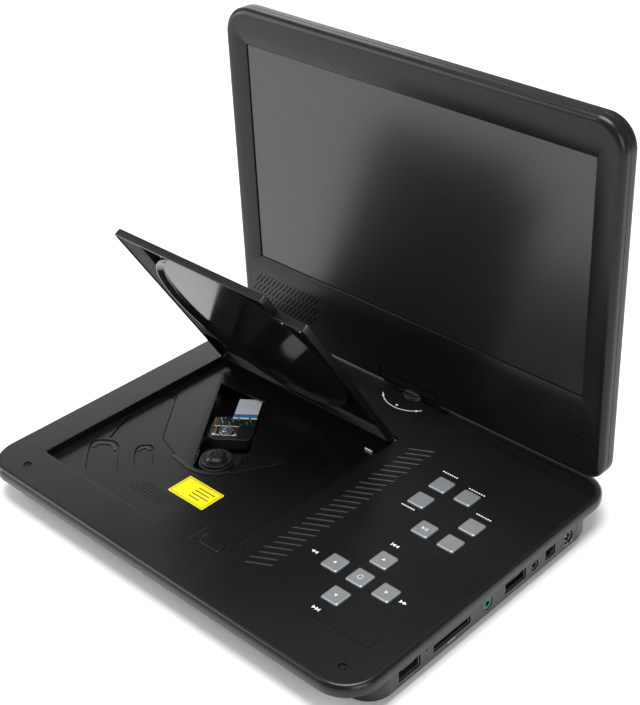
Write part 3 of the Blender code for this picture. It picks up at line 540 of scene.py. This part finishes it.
def feet_and_screws():
    for name, x, y in (("foot_front_left", -138, -94), ("foot_front_right", 138, -94),
                       ("foot_rear_left", -140, 82), ("foot_rear_right", 140, 82)):
        profile = [(8.7, 2.5), (9.0, 2.0), (9.0, 0.8), (8.6, 0.25), (8.0, 0.0), (6.2, 0.0), (5.8, 0.35),
                   (0.5, 0.35)]
        piece(f"{name}_pad", "base", "rubber", turned(x, y, profile), stands_for=name)
    for side, x in (("left", -153), ("right", 153)):
        for end, y in (("front", -98), ("rear", 86)):
            profile = [(1.2, 5.0), (1.2, 3.5), (2.6, 3.4), (2.6, 2.9), (2.3, 2.5), (0.5, 2.45)]
            cross = [box(x - 1.7, x + 1.7, y - 0.35, y + 0.35, 2, 2.95),
                     box(x - 0.35, x + 0.35, y - 1.7, y + 1.7, 2, 2.94)]
            piece(f"screw_head_{end}_{side}", "base", "steel", turned(x, y, profile, steps=32),
                  stands_for=f"base_screw_{end}_{side}", cuts=[[c] for c in cross])


def keys():
    for name, x, y in KEYS:
        layers = [(key_square(x, y, 1.4, 0.8), 23.6), (key_square(x, y, 1.4, 0.8), 24.7),
                  (key_square(x, y, 0), 24.7), (key_square(x, y, 0), 27.15)]
        for a in (0.26, 0.52, 0.79, 1.05, 1.31, 1.57):
            layers.append((key_square(x, y, -1.1 * (1 - math.cos(a))), KEY_TOP - 0.8 * (1 - math.sin(a))))
        layers.append((key_square(x, y, -3.0, 0.8), KEY_TOP - 0.04))
        piece(f"{name}_cap", name, "key", loft(layers), stands_for=name)
        symbol = key_symbol(name, x, y)
        if symbol:
            piece(f"{name}_symbol", name, "key_print", symbol)


def key_symbol(name, x, y):
    """A faint generic sign on the keys that have one."""
    low, high = KEY_TOP - 0.2, KEY_TOP + 0.02
    arrows = {"key_nav_left": 180, "key_nav_right": 0, "key_nav_up": 90, "key_nav_down": 270}
    if name in arrows:
        turns = [math.radians(arrows[name] + t) for t in (0, 120, 240)]
        points = [(x + 1.5 * math.cos(a), y + 1.5 * math.sin(a)) for a in turns]
        return prism(points, low, high)
    if name == "key_function_4":
        return merged(prism([(x + 0.2, y), (x - 2.0, y + 1.3), (x - 2.0, y - 1.3)], low, high),
                      prism(rectangle(x + 0.9, x + 1.4, y - 1.3, y + 1.3), low, high),
                      prism(rectangle(x + 2.0, x + 2.5, y - 1.3, y + 1.3), low, high))
    if name == "key_nav_centre":
        return prism(stroke(arc(x, y, 1.7, 0, 350, 24), 0.4), low, high)
    return None


def release_button():
    outline = rounded(5.9, 24.2, -92.6, -83.7, 2.0, 5)
    wide = rounded(4.7, 25.4, -93.8, -82.5, 2.0, 5)
    layers = [(wide, 16.4), (wide, 17.6), (outline, 17.6), (outline, 26.6)]
    layers += [(grown(outline, -0.5 * (1 - math.cos(a))), 27.3 - 0.6 * (1 - math.sin(a)))
               for a in (0.5, 1.05, 1.57)]
    piece("release_button_cap", "release_button", "shell", loft(layers), stands_for="door_release_button")


# ---- sockets ----
def sockets():
    face, back = 169.1, 154.5
    for name, (y, z, width, height, is_round) in SOCKETS.items():
        w, h = width / 2, height / 2
        if is_round:
            shape = loft([(circle(y, z, w, 40), back), (circle(y, z, w, 40), face - 0.3),
                          (circle(y, z, w - 0.25, 40), face)], "x")
        else:
            outline = rounded(y - w, y + w, z - h, z + h, 0.5, 3)
            shape = loft([(outline, back), (outline, face - 0.2), (grown(outline, -0.2), face)], "x")
        SOCKET_MAKERS[name](name, shape, y, z, w, h, face, back)


def plain_pocket(y, z, w, h, deep, face):
    outline = rounded(y - w, y + w, z - h, z + h, 0.4, 3)
    return loft([(outline, deep), (outline, face - 0.3), (grown(outline, 0.3), face + 0.01),
                 (grown(outline, 0.3), face + 2)], "x")


def washer(y, z, radii, back, face):
    """A flat ring that stands a little proud of a socket's face."""
    heights = (back, face + 0.15, face + 0.15, back)
    return loft([(circle(y, z, radius, 40), height) for radius, height in zip(radii, heights)], "x",
                ring=True)


def make_dc(name, shape, y, z, w, h, face, back):
    piece("dc_inlet_body", "base", "mech", shape, stands_for=name,
          cuts=[[cylinder(y, z, 3.0, back + 2, face + 2, "x", 32)]])
    pin = loft([(circle(y, z, 0.8, 20), back + 1.5), (circle(y, z, 0.8, 20), face - 1.6),
                (circle(y, z, 0.5, 20), face - 1.2)], "x")
    piece("dc_inlet_pin", "base", "steel", pin)
    outer, inner = circle(y, z, 3.0, 40), circle(y, z, 2.75, 40)
    ring = loft([(outer, face - 4), (outer, face - 0.2), (inner, face - 0.2), (inner, face - 4)], "x",
                ring=True)
    piece("dc_inlet_sleeve", "base", "steel", ring)


def make_switch(name, shape, y, z, w, h, face, back):
    piece("power_switch_surround", "base", "mech", shape, stands_for=name,
          cuts=[[plain_pocket(y, z, w - 1.0, h - 1.0, back + 3, face)]])
    ky = y + 1.5
    stem = rounded(ky - 1.4, ky + 1.4, z - 1.5, z + 1.5, 0.3, 3)
    grip = rounded(ky - 1.9, ky + 1.9, z - 1.9, z + 1.9, 0.4, 3)
    layers = [(stem, back + 4), (stem, face - 2), (grip, face - 2), (grip, face + 0.4),
              (grown(grip, -0.3), face + 0.7)]
    ridges = [prism(rectangle(ky + d - 0.16, ky + d + 0.16, z - 1.5, z + 1.5), face + 0.4, face + 1.15, "x")
              for d in (-1.2, -0.4, 0.4, 1.2)]
    piece("power_switch_grip", "power_switch", "gloss", loft(layers, "x"), stands_for="power_switch_knob",
          adds=[ridges])


def make_av(name, shape, y, z, w, h, face, back):
    piece("av_socket_body", "base", "mech", shape, stands_for=name,
          cuts=[[cylinder(y, z, 1.8, back + 2, face + 2, "x", 32)]])
    piece("av_socket_ring", "base", "dark_metal", washer(y, z, (2.9, 2.8, 1.95, 1.85), face - 0.1, face))


def make_headphone(name, shape, y, z, w, h, face, back):
    piece("headphone_socket_body", "base", "mech", shape, stands_for=name,
          cuts=[[cylinder(y, z, 1.8, back + 2, face + 2, "x", 32)]])
    rings = [washer(y, z, (outer, outer - 0.1, inner + 0.1, inner), face - 0.2, face)
             for outer, inner in ((3.8, 3.0), (2.5, 1.85))]
    piece("headphone_socket_rings", "base", "green", merged(*rings))


def make_card(name, shape, y, z, w, h, face, back):
    piece("card_slot_body", "base", "mech", shape, stands_for=name,
          cuts=[[plain_pocket(y, z, w - 1.0, h - 1.0, back + 2, face)]])
    pads = [prism(rounded(y - 13 + 3.2 * i, y - 11 + 3.2 * i, z - 1.35, z - 1.1, 0.1, 1),
                  face - 9, face - 2.5, "x") for i in range(8)]
    piece("card_slot_contacts", "base", "copper", merged(*pads))


def make_video(name, shape, y, z, w, h, face, back):
    piece("video_socket_body", "base", "mech", shape, stands_for=name,
          cuts=[[plain_pocket(y, z, w - 1.0, h - 1.0, back + 3, face)]])
    tongue = rounded(y - w + 2.6, y + w - 2.6, z - 0.7, z + 0.7, 0.3, 2)
    layers = [(tongue, back + 2.5), (tongue, face - 2.0), (grown(tongue, -0.2), face - 1.8)]
    piece("video_socket_tongue", "base", "mech", loft(layers, "x"))
    pins = []
    for i in range(11):
        start = y - w + 1.3 * i
        for middle in (z - 0.85, z + 0.85):
            outline = rounded(start + 3.4, start + 4.0, middle - 0.12, middle + 0.12, 0.05, 1)
            pins.append(prism(outline, back + 4, face - 2.3, "x"))
    piece("video_socket_contacts", "base", "steel", merged(*pins))


def make_usb(name, shape, y, z, w, h, face, back):
    piece("usb_socket_body", "base", "dark_metal", shape, stands_for=name,
          cuts=[[plain_pocket(y, z, w - 0.8, h - 0.8, back + 3, face)]])
    tongue = rounded(y - 5.6, y + 5.6, z + 0.3, z + 2.1, 0.2, 2)
    layers = [(tongue, back + 2.5), (tongue, face - 1.6), (grown(tongue, -0.2), face - 1.3)]
    piece("usb_socket_tongue", "base", "mech", loft(layers, "x"))
    pins = [prism(rounded(y - 3.9 + 2.4 * i, y - 2.7 + 2.4 * i, z + 0.1, z + 0.35, 0.05, 1),
                  back + 4, face - 2.2, "x") for i in range(4)]
    piece("usb_socket_contacts", "base", "copper", merged(*pins))


SOCKET_MAKERS = {"dc_inlet": make_dc, "power_switch_frame": make_switch, "av_socket": make_av,
                 "video_socket": make_video, "headphone_socket": make_headphone, "card_slot": make_card,
                 "usb_socket": make_usb}


# ---- disc mechanism ----
def mechanism():
    window = [(70, -22), (92, 14.2)] + arc(0, 0, 17.0, 123.4, 270, 24) + [(10, -22)]
    cover = loft([(COVER, TRAY_Z - 1.2), (COVER, TRAY_Z - 0.25), (grown(COVER, -0.25), TRAY_Z)])
    turned_window = [tuple((TRAVERSE @ Vector((a, b, 0))).to_2d()) for a, b in window]
    piece("mechanism_plate", "base", "tray", cover, stands_for="mechanism_cover",
          cuts=[[sunk(turned_window, TRAY_Z - 5, TRAY_Z, 0.3)]])
    rim = stroke(arc(0, 0, 17.9, 118, 276, 30), 0.9)
    piece("window_rim", "base", "tray", slab(rim, -0.4, 0.35, 0.25), TRAVERSE)
    hub()
    sled()
    label()


def hub():
    profile = [(11.0, -1.2), (11.0, -0.1), (10.8, 0.2), (8.2, 0.2), (7.9, 0.0), (7.4, 0.0), (7.3, 0.3),
               (7.3, 1.6), (7.0, 2.1), (5.8, 3.1), (5.2, 3.3), (3.4, 3.3), (3.1, 2.6), (2.0, 2.6),
               (1.7, 3.4), (0.6, 3.4)]
    slots = []
    for i in range(3):
        a = 120 * i + 20
        for d in (-17, 17):
            turn = Matrix.Rotation(math.radians(a + d), 4, "Z")
            slots.append(placed(box(3.9, 9.0, -0.35, 0.35, 0.9, 5.0), turn))
    piece("hub_turntable", "spindle", "mech", turned(0, 0, profile, steps=72), TRAVERSE,
          stands_for="spindle_hub", cuts=[slots])
    beads = [placed(turned(0, 0, [(0.3, 2.05), (0.9, 1.9), (0.95, 1.3), (0.3, 1.0)], steps=20),
                    Matrix.Rotation(math.radians(120 * i + 20), 4, "Z") @ Matrix.Translation((6.6, 0, 0)))
             for i in range(3)]
    piece("hub_beads", "spindle", "steel", merged(*beads), TRAVERSE)


def sled():
    block = [(13.6, -20.0), (14.0, 8.0), (9.0, 11.6), (-9.0, 11.6), (-12.6, 6.0), (-12.6, -16.0),
             (-8.0, -20.0)]
    bores = [[cylinder(w, 0, 1.8, -40, 40, "x", 20) for w in (17.0, -26.0)],
             [cylinder(-2.5, 0, 5.6, 2.4, 20)]]
    adds = [[box(-8, 8, 10, 19.8, -2.9, 2.9)], [box(-8, 8, -29.4, -18, -2.9, 2.9)],
            [box(-2.5, 2.5, -31.6, -28, -1.8, 1.8)]]
    piece("pickup_body", "pickup", "mech", slab(block, -3.5, 4.6, 0.5), PICKUP, stands_for="pickup_sled",
          adds=adds, cuts=bores)
    lens = [(5.2, 2.6), (5.2, 5.2), (4.9, 5.5), (3.1, 5.5), (3.0, 5.3)]
    lens += [(2.7 * math.cos(a), 5.4 + 1.1 * math.sin(a)) for a in (0.1, 0.35, 0.6, 0.85, 1.1, 1.35, 1.5)]
    piece("pickup_objective", "pickup", "lens", turned(-2.5, 0, lens), PICKUP, stands_for="pickup_lens")
    frame_parts = [slab(rounded(-9.5, -8.0, -9, 9, 0.4, 3), 4.5, 6.0, 0.3),
                   slab(rounded(1.6, 2.8, -9, 9, 0.4, 3), 4.5, 6.0, 0.3),
                   slab(rounded(-8.5, -6.0, 6.2, 9.0, 0.5, 3), 4.5, 6.2, 0.3),
                   slab(rounded(-8.5, -6.0, -9.0, -6.2, 0.5, 3), 4.5, 6.2, 0.3)]
    piece("actuator_yokes", "pickup", "steel", merged(*frame_parts), PICKUP)
    wires = [slab(stroke([(-8, s * (6.9 + k)), (3, s * (6.9 + k))], 0.25), 5.2, 5.45, 0.08)
             for s in (-1, 1) for k in (0, 0.8)]
    piece("actuator_wires", "pickup", "copper", merged(*wires), PICKUP)
    board = rounded(3.4, 13.4, -19.6, 7.6, 0.6, 3)
    piece("pickup_board", "pickup", "board", slab(board, 4.9, 5.5, 0.1), PICKUP,
          stands_for="pickup_circuit_board")
    parts = []
    for i in range(26):
        u, w = 4.4 + (i * 37 % 81) / 10.0, -18.6 + (i * 61 % 250) / 10.0
        size = 0.45 + (i * 13 % 5) * 0.12
        outline = rounded(u - size, u + size, w - size * 0.7, w + size * 0.7, 0.12, 2)
        parts.append(slab(outline, 5.4, 5.9 + (i % 3) * 0.12, 0.12))
    piece("pickup_solder_points", "pickup", "steel", merged(*parts), PICKUP)
    chips = [slab(rounded(5.0, 9.0, -12.0, -7.6, 0.2, 2), 5.4, 6.2, 0.1),
             slab(rounded(9.6, 12.4, -2.0, 2.8, 0.2, 2), 5.4, 6.1, 0.1)]
    piece("pickup_chips", "pickup", "mech", merged(*chips), PICKUP)
    flex = slab(rounded(2.2, 13.8, 7.7, 10.8, 0.6, 3), 4.5, 4.9, 0.1)
    piece("pickup_flex", "pickup", "amber", flex, PICKUP)
    ribbon()


def ribbon():
    """A flat cable that leaves the pickup and slopes down under the plate."""
    path = smooth_path([(13.0, 5.3), (16.0, 5.2), (18.0, 4.8), (20.0, 4.6), (25.0, 4.3), (30.0, 3.9),
                        (34.0, 3.5), (40.0, 3.0)], 5)
    white = [p for p in path if p[0] >= 17.4]
    blue = [p for p in path if p[0] <= 18.0]
    piece("ribbon_cable", "pickup", "ribbon", strip(white, -19.0, -2.0, 0.12), PICKUP,
          stands_for="pickup_ribbon")
    piece("ribbon_stiffener", "pickup", "ribbon_blue", strip(blue, -19.1, -1.9, 0.25), PICKUP)
    latch = slab(rounded(11.4, 13.2, -19.4, -1.6, 0.3, 3), 5.3, 5.7, 0.15)
    piece("ribbon_latch", "pickup", "white_part", latch, PICKUP)


def strip(points, w0, w1, thick):
    """A flat band that follows some (distance, height) points."""
    around = points + [(u, h + thick) for u, h in reversed(points)]
    verts = [(u, w0, h) for u, h in around] + [(u, w1, h) for u, h in around]
    count = len(around)
    sides = [(i, (i + 1) % count, count + (i + 1) % count, count + i) for i in range(count)]
    return verts, sides + [tuple(range(count)), tuple(reversed(range(count, 2 * count)))]


def label():
    """A blank label with a thin frame and plain dashes."""
    film = slab(rounded(-54.0, -20.6, -66.0, -46.3, 0.8, 4), TRAY_Z - 0.05, TRAY_Z + 0.12, 0.05)
    piece("label_film", "base", "yellow", film, stands_for="plain_label")
    low, high = TRAY_Z + 0.08, TRAY_Z + 0.18
    sides = ((-52.9, -21.7, -64.9, -64.5), (-52.9, -21.7, -47.8, -47.4),
             (-52.9, -52.5, -64.4, -47.9), (-22.1, -21.7, -64.4, -47.9))
    marks = [prism(rectangle(*side), low, high) for side in sides]
    for k, length in enumerate((15.0, 13.0, 15.0, 10.0)):
        y = -51.4 - 3.1 * k
        marks.append(prism(rectangle(-39.5, -39.5 + length, y - 0.4, y + 0.4), low, high))
    piece("label_dashes", "base", "ink", merged(*marks))


def mechanism_inside():
    for name, finish in (("mechanism_chassis", "dark_metal"), ("spindle_motor", "dark_metal"),
                         ("sled_motor", "steel"), ("guide_rod_left", "steel"),
                         ("guide_rod_right", "steel"), ("lead_screw", "steel"),
                         ("door_hinge_rod", "steel"), ("main_circuit_board", "board"),
                         ("key_circuit_board", "board"), ("battery_pack", "wrap"),
                         ("display_driver_board", "board"), ("speaker_left", "mech"),
                         ("speaker_right", "mech"), ("tilt_shaft", "steel"), ("swivel_washer", "steel"),
                         ("swivel_post", "steel")):
        keep(name, finish)


# ---- disc door ----
def door_outline(inset, r=2.4):
    x0, x1, y0, y1 = DOOR
    return notched(x0 + inset, x1 - inset, y0 + inset, y1 - inset, BLOCK_X - 0.8 - inset,
                   BLOCK_Y - HINGE_Y + 0.8 + inset, r, 5)


def door():
    top, low = DOOR_TOP, DOOR_LOW
    layers = [(door_outline(0.8 * (1 - math.cos(a))), top - 0.8 * (1 - math.sin(a)))
              for a in (1.57, 1.18, 0.79, 0.4, 0)]
    layers += [(door_outline(0), low + 0.35), (door_outline(0.1), low + 0.1), (door_outline(0.3), low),
               (door_outline(1.1), low), (door_outline(1.3), low + 0.2), (door_outline(1.3), top - 1.2)]
    piece("door_skin", "disc_door", "shell", loft(layers), DOOR_PLACE, stands_for="disc_door",
          adds=[[box(DOOR[0] + 3, DOOR[1] - 3, -4.2, -1.0, -1.2, top - 0.5)],
                [cylinder(0, 0, 2.2, DOOR[0] + 0.3, DOOR[1] - 0.3, "x", 32)]])
    door_lining(top - 1.5, low + 0.1)


def door_lining(high, low):
    """The dished inner panel: a raised ring round the disc, a raised band at the left, and the catch."""
    cx, cy = SPINDLE[0], SPINDLE[1] - HINGE_Y
    floor = high - 1.0
    down = DOOR_PLACE @ Matrix.Scale(-1, 4, (0, 0, 1))
    dish = [(77.2, low - 2), (77.2, low), (77.0, low + 0.2), (73.8, floor - 0.25), (73.2, floor)]
    outside = [(78.3, floor), (210, floor), (210, low - 2), (78.0, low - 2), (78.0, low),
               (78.2, low + 0.25)]
    cuts = [[loft([(circle(cx, cy, r, 144), h) for r, h in dish])],
            [loft([(circle(cx, cy, r, 144), h) for r, h in outside], ring=True)]]
    piece("door_lining", "disc_door", "gloss", prism(door_outline(1.6), low, high), DOOR_PLACE,
          stands_for="door_inner_panel", cuts=cuts)
    left, front = DOOR[0] + 1.8, DOOR[2] + 1.8
    band = [(left, -39.4), (left, front + 2.2), (left + 2.2, front), (-114.6, front)]
    band += arc(cx, cy, 78.0, 221, 140, 40)
    rib = rectangle(-116.0, -114.7, front + 0.1, -141.6)
    raised = merged(slab(band, -floor - 0.2, -low - 0.5, 0.25), slab(rib, -floor - 0.2, -low, 0.3))
    piece("door_side_band", "disc_door", "matte", raised, down)
    edge = BLOCK_Y - HINGE_Y + 0.8
    tab = slab(rounded(4.6, 22.4, edge + 1.7, edge + 4.9, 0.6, 3), -floor - 0.2, -low + 0.1, 0.3)
    holes = [box(10.6, 16.2, edge + 2.3, edge + 4.3, -low - 2, 10),
             box(18.4, 20.2, edge + 2.4, edge + 4.2, -low - 1.5, 10)]
    piece("door_catch_strip", "disc_door", "shell", tab, down, stands_for="door_catch", cuts=[holes])
    profile = [(0.7, -low - 0.6), (0.7, -low + 0.1), (0.45, -low + 0.35), (0.1, -low + 0.4)]
    pins = [turned(x, edge + 3.3, profile, steps=20) for x in (6.0, 21.4)]
    piece("door_catch_pins", "disc_door", "steel", merged(*pins), down)


# ---- swivel ----
def swivel():
    def outline(shrink):
        barrel = arc(AXIS_Y, TILT_Z, BARREL_R - shrink, -32, 232, 48)
        return barrel + [(AXIS_Y - 5.1 + shrink, TOP + 1.8), (AXIS_Y - 4.7 + shrink, TOP + 1.4),
                         (AXIS_Y + 6.7 - shrink, TOP + 1.4), (AXIS_Y + 7.3 - shrink, TOP + 2.0)]
    half = 26.8
    layers = [(outline(1.0), -half), (outline(0.3), -half + 0.3), (outline(0), -half + 1.0),
              (outline(0), half - 1.0), (outline(0.3), half - 0.3), (outline(1.0), half)]
    piece("hinge_barrel", "swivel", "lid", loft(layers, "x"), stands_for="hinge_housing",
          cuts=[[cylinder(AXIS_Y, TILT_Z, 2.3, -40, 40, "x", 24)]])


# ---- lid ----
def lid_outline(inset, steps=20):
    return rounded(-LID_HALF + inset, LID_HALF - inset, LID_Z0 + inset, LID_Z1 - inset,
                   21.0 - inset * 0.8, steps, 12.0 - inset * 0.8)


def show_outline(margin, radius, steps=20):
    return rounded(-SHOW_W / 2 - margin, SHOW_W / 2 + margin, SHOW_Z0 - margin, SHOW_Z0 + SHOW_H + margin,
                   radius, steps)


def notch():
    """Room for the hinge housing in the lid's lower edge."""
    mouth = rectangle(LID_FRONT - 5, LID_BACK + 5, LID_Z0 - 8, 42.9)
    return [[cylinder(AXIS_Y, TILT_Z, 9.2, -27.3, 27.3, "x", 64)], [prism(mouth, -27.3, 27.3, "x")]]


def grille_slots():
    """Three rows of slanting slots at each lower corner of the bezel."""
    cuts = []
    for side in (-1, 1):
        for row in range(3):
            for column in range(17):
                x = side * 121 + (column - 8) * 4.0 + (row - 1) * 4.35
                z = 64 + (row - 1) * 8.7
                if abs(x - side * 121) > 34:
                    continue
                outline = stroke([(x - 3.2, z - 3.7), (x + 3.2, z + 3.7)], 0.85)
                cuts.append(prism(outline, LID_FRONT - 2, LID_FRONT + (1.3 if side < 0 else 0.5), "y"))
    return cuts


def lid():
    """The bezel, the display and the back cover."""
    edge = []
    for step in range(11):
        a = math.radians(90 * step / 10)
        edge.append((lid_outline(4.5 * (1 - math.cos(a))), LID_FRONT + 4.5 * (1 - math.sin(a))))
    layers = [(lid_outline(0.12), LID_SPLIT), (lid_outline(0), LID_SPLIT - 0.15)] + edge + [
        (show_outline(9.3, 3.0), LID_FRONT), (show_outline(0.5, 0.6), LID_FRONT + 1.9),
        (show_outline(0.2, 0.5), LID_FRONT + 2.2), (show_outline(0.2, 0.5), LID_FRONT + 3.4),
        (lid_outline(WALL), LID_FRONT + 4.4), (lid_outline(WALL), LID_SPLIT)]
    piece("bezel", "lid", "lid", loft(layers, "y", ring=True), stands_for="lid_bezel",
          cuts=notch() + [grille_slots()])
    glass = loft([(show_outline(-0.25, 0.4), LID_FRONT + 8.5), (show_outline(-0.25, 0.4), LID_FRONT + 3.0),
                  (show_outline(-0.45, 0.3), LID_FRONT + 2.8)], "y")
    piece("display_glass", "lid", "display", glass, stands_for="display_panel")
    edge = []
    for step in range(11):
        a = math.radians(90 * step / 10)
        edge.append((lid_outline(7.0 * (1 - math.cos(a))), LID_BACK - 7.0 * (1 - math.sin(a))))
    layers = [(lid_outline(8.0), LID_BACK - 2.2), (lid_outline(WALL + 1), LID_BACK - 6),
              (lid_outline(WALL), LID_SPLIT + 0.3), (lid_outline(0.12), LID_SPLIT + 0.3),
              (lid_outline(0), LID_SPLIT + 0.45)] + edge
    piece("back_shell", "lid", "lid", loft(layers, "y"), stands_for="lid_back_cover", cuts=notch())


# ---- camera, light and floor ----
def stage():
    scene = bpy.context.scene
    scene.view_settings.view_transform = "Standard"
    camera = bpy.data.objects.new("camera", bpy.data.cameras.new("camera"))
    scene.collection.objects.link(camera)
    scene.camera = camera
    camera.data.sensor_width, camera.data.lens = 36.0, 71.98
    camera.data.shift_x, camera.data.shift_y = -0.165, -0.033
    camera.location = (0.5604, -0.5139, 0.5867)
    azimuth, elevation = math.radians(40.5), math.radians(30.92)
    back = Vector((math.sin(azimuth) * math.cos(elevation), -math.cos(azimuth) * math.cos(elevation),
                   math.sin(elevation)))
    camera.rotation_mode = "QUATERNION"
    camera.rotation_quaternion = (-back).to_track_quat("-Z", "Y")
    world = bpy.data.worlds.new("studio")
    scene.world = world
    world.use_nodes = True
    world.node_tree.nodes["Background"].inputs["Color"].default_value = (0.95, 0.97, 1.0, 1)
    world.node_tree.nodes["Background"].inputs["Strength"].default_value = 0.4
    half = 6000
    corners = [(-half, -half, 0), (half, -half, 0), (half, half, 0), (-half, half, 0)]
    floor = bpy.data.objects.new("floor", mesh_of("floor", (corners, [(0, 1, 2, 3)])))
    scene.collection.objects.link(floor)
    floor.data.materials.append(moulded("pale_floor", (0.86, 0.86, 0.86), 0.9, specular=0.1, vary=0.01,
                                        bump=0.0))
    lamp("overhead", (-0.05, 0.0, 2.0), (0, 0, 0), 1.2, 58)
    lamp("left_front", (-1.6, -1.2, 1.1), (0, 0, 0.1), 1.4, 24)
    lamp("right_front", (1.8, -0.6, 0.9), (0.1, 0, 0.05), 1.2, 18)
    lamp("low_left_front", (-2.6, -1.5, 0.3), (0, 0.1, 0.15), 0.5, 12)
    lamp("back_left", (-2.2, 1.6, 0.95), (0, 0, 0.1), 1.4, 11)


def lamp(name, place, aim, size, power):
    made = bpy.data.objects.new(name, bpy.data.lights.new(name, "AREA"))
    bpy.context.scene.collection.objects.link(made)
    made.data.size, made.data.energy = size, power
    made.location = place
    made.rotation_mode = "QUATERNION"
    made.rotation_quaternion = (Vector(aim) - Vector(place)).to_track_quat("-Z", "Y")


base_shell()
base_details()
bottom_shell()
feet_and_screws()
keys()
release_button()
sockets()
mechanism()
mechanism_inside()
door()
swivel()
lid()
stage()
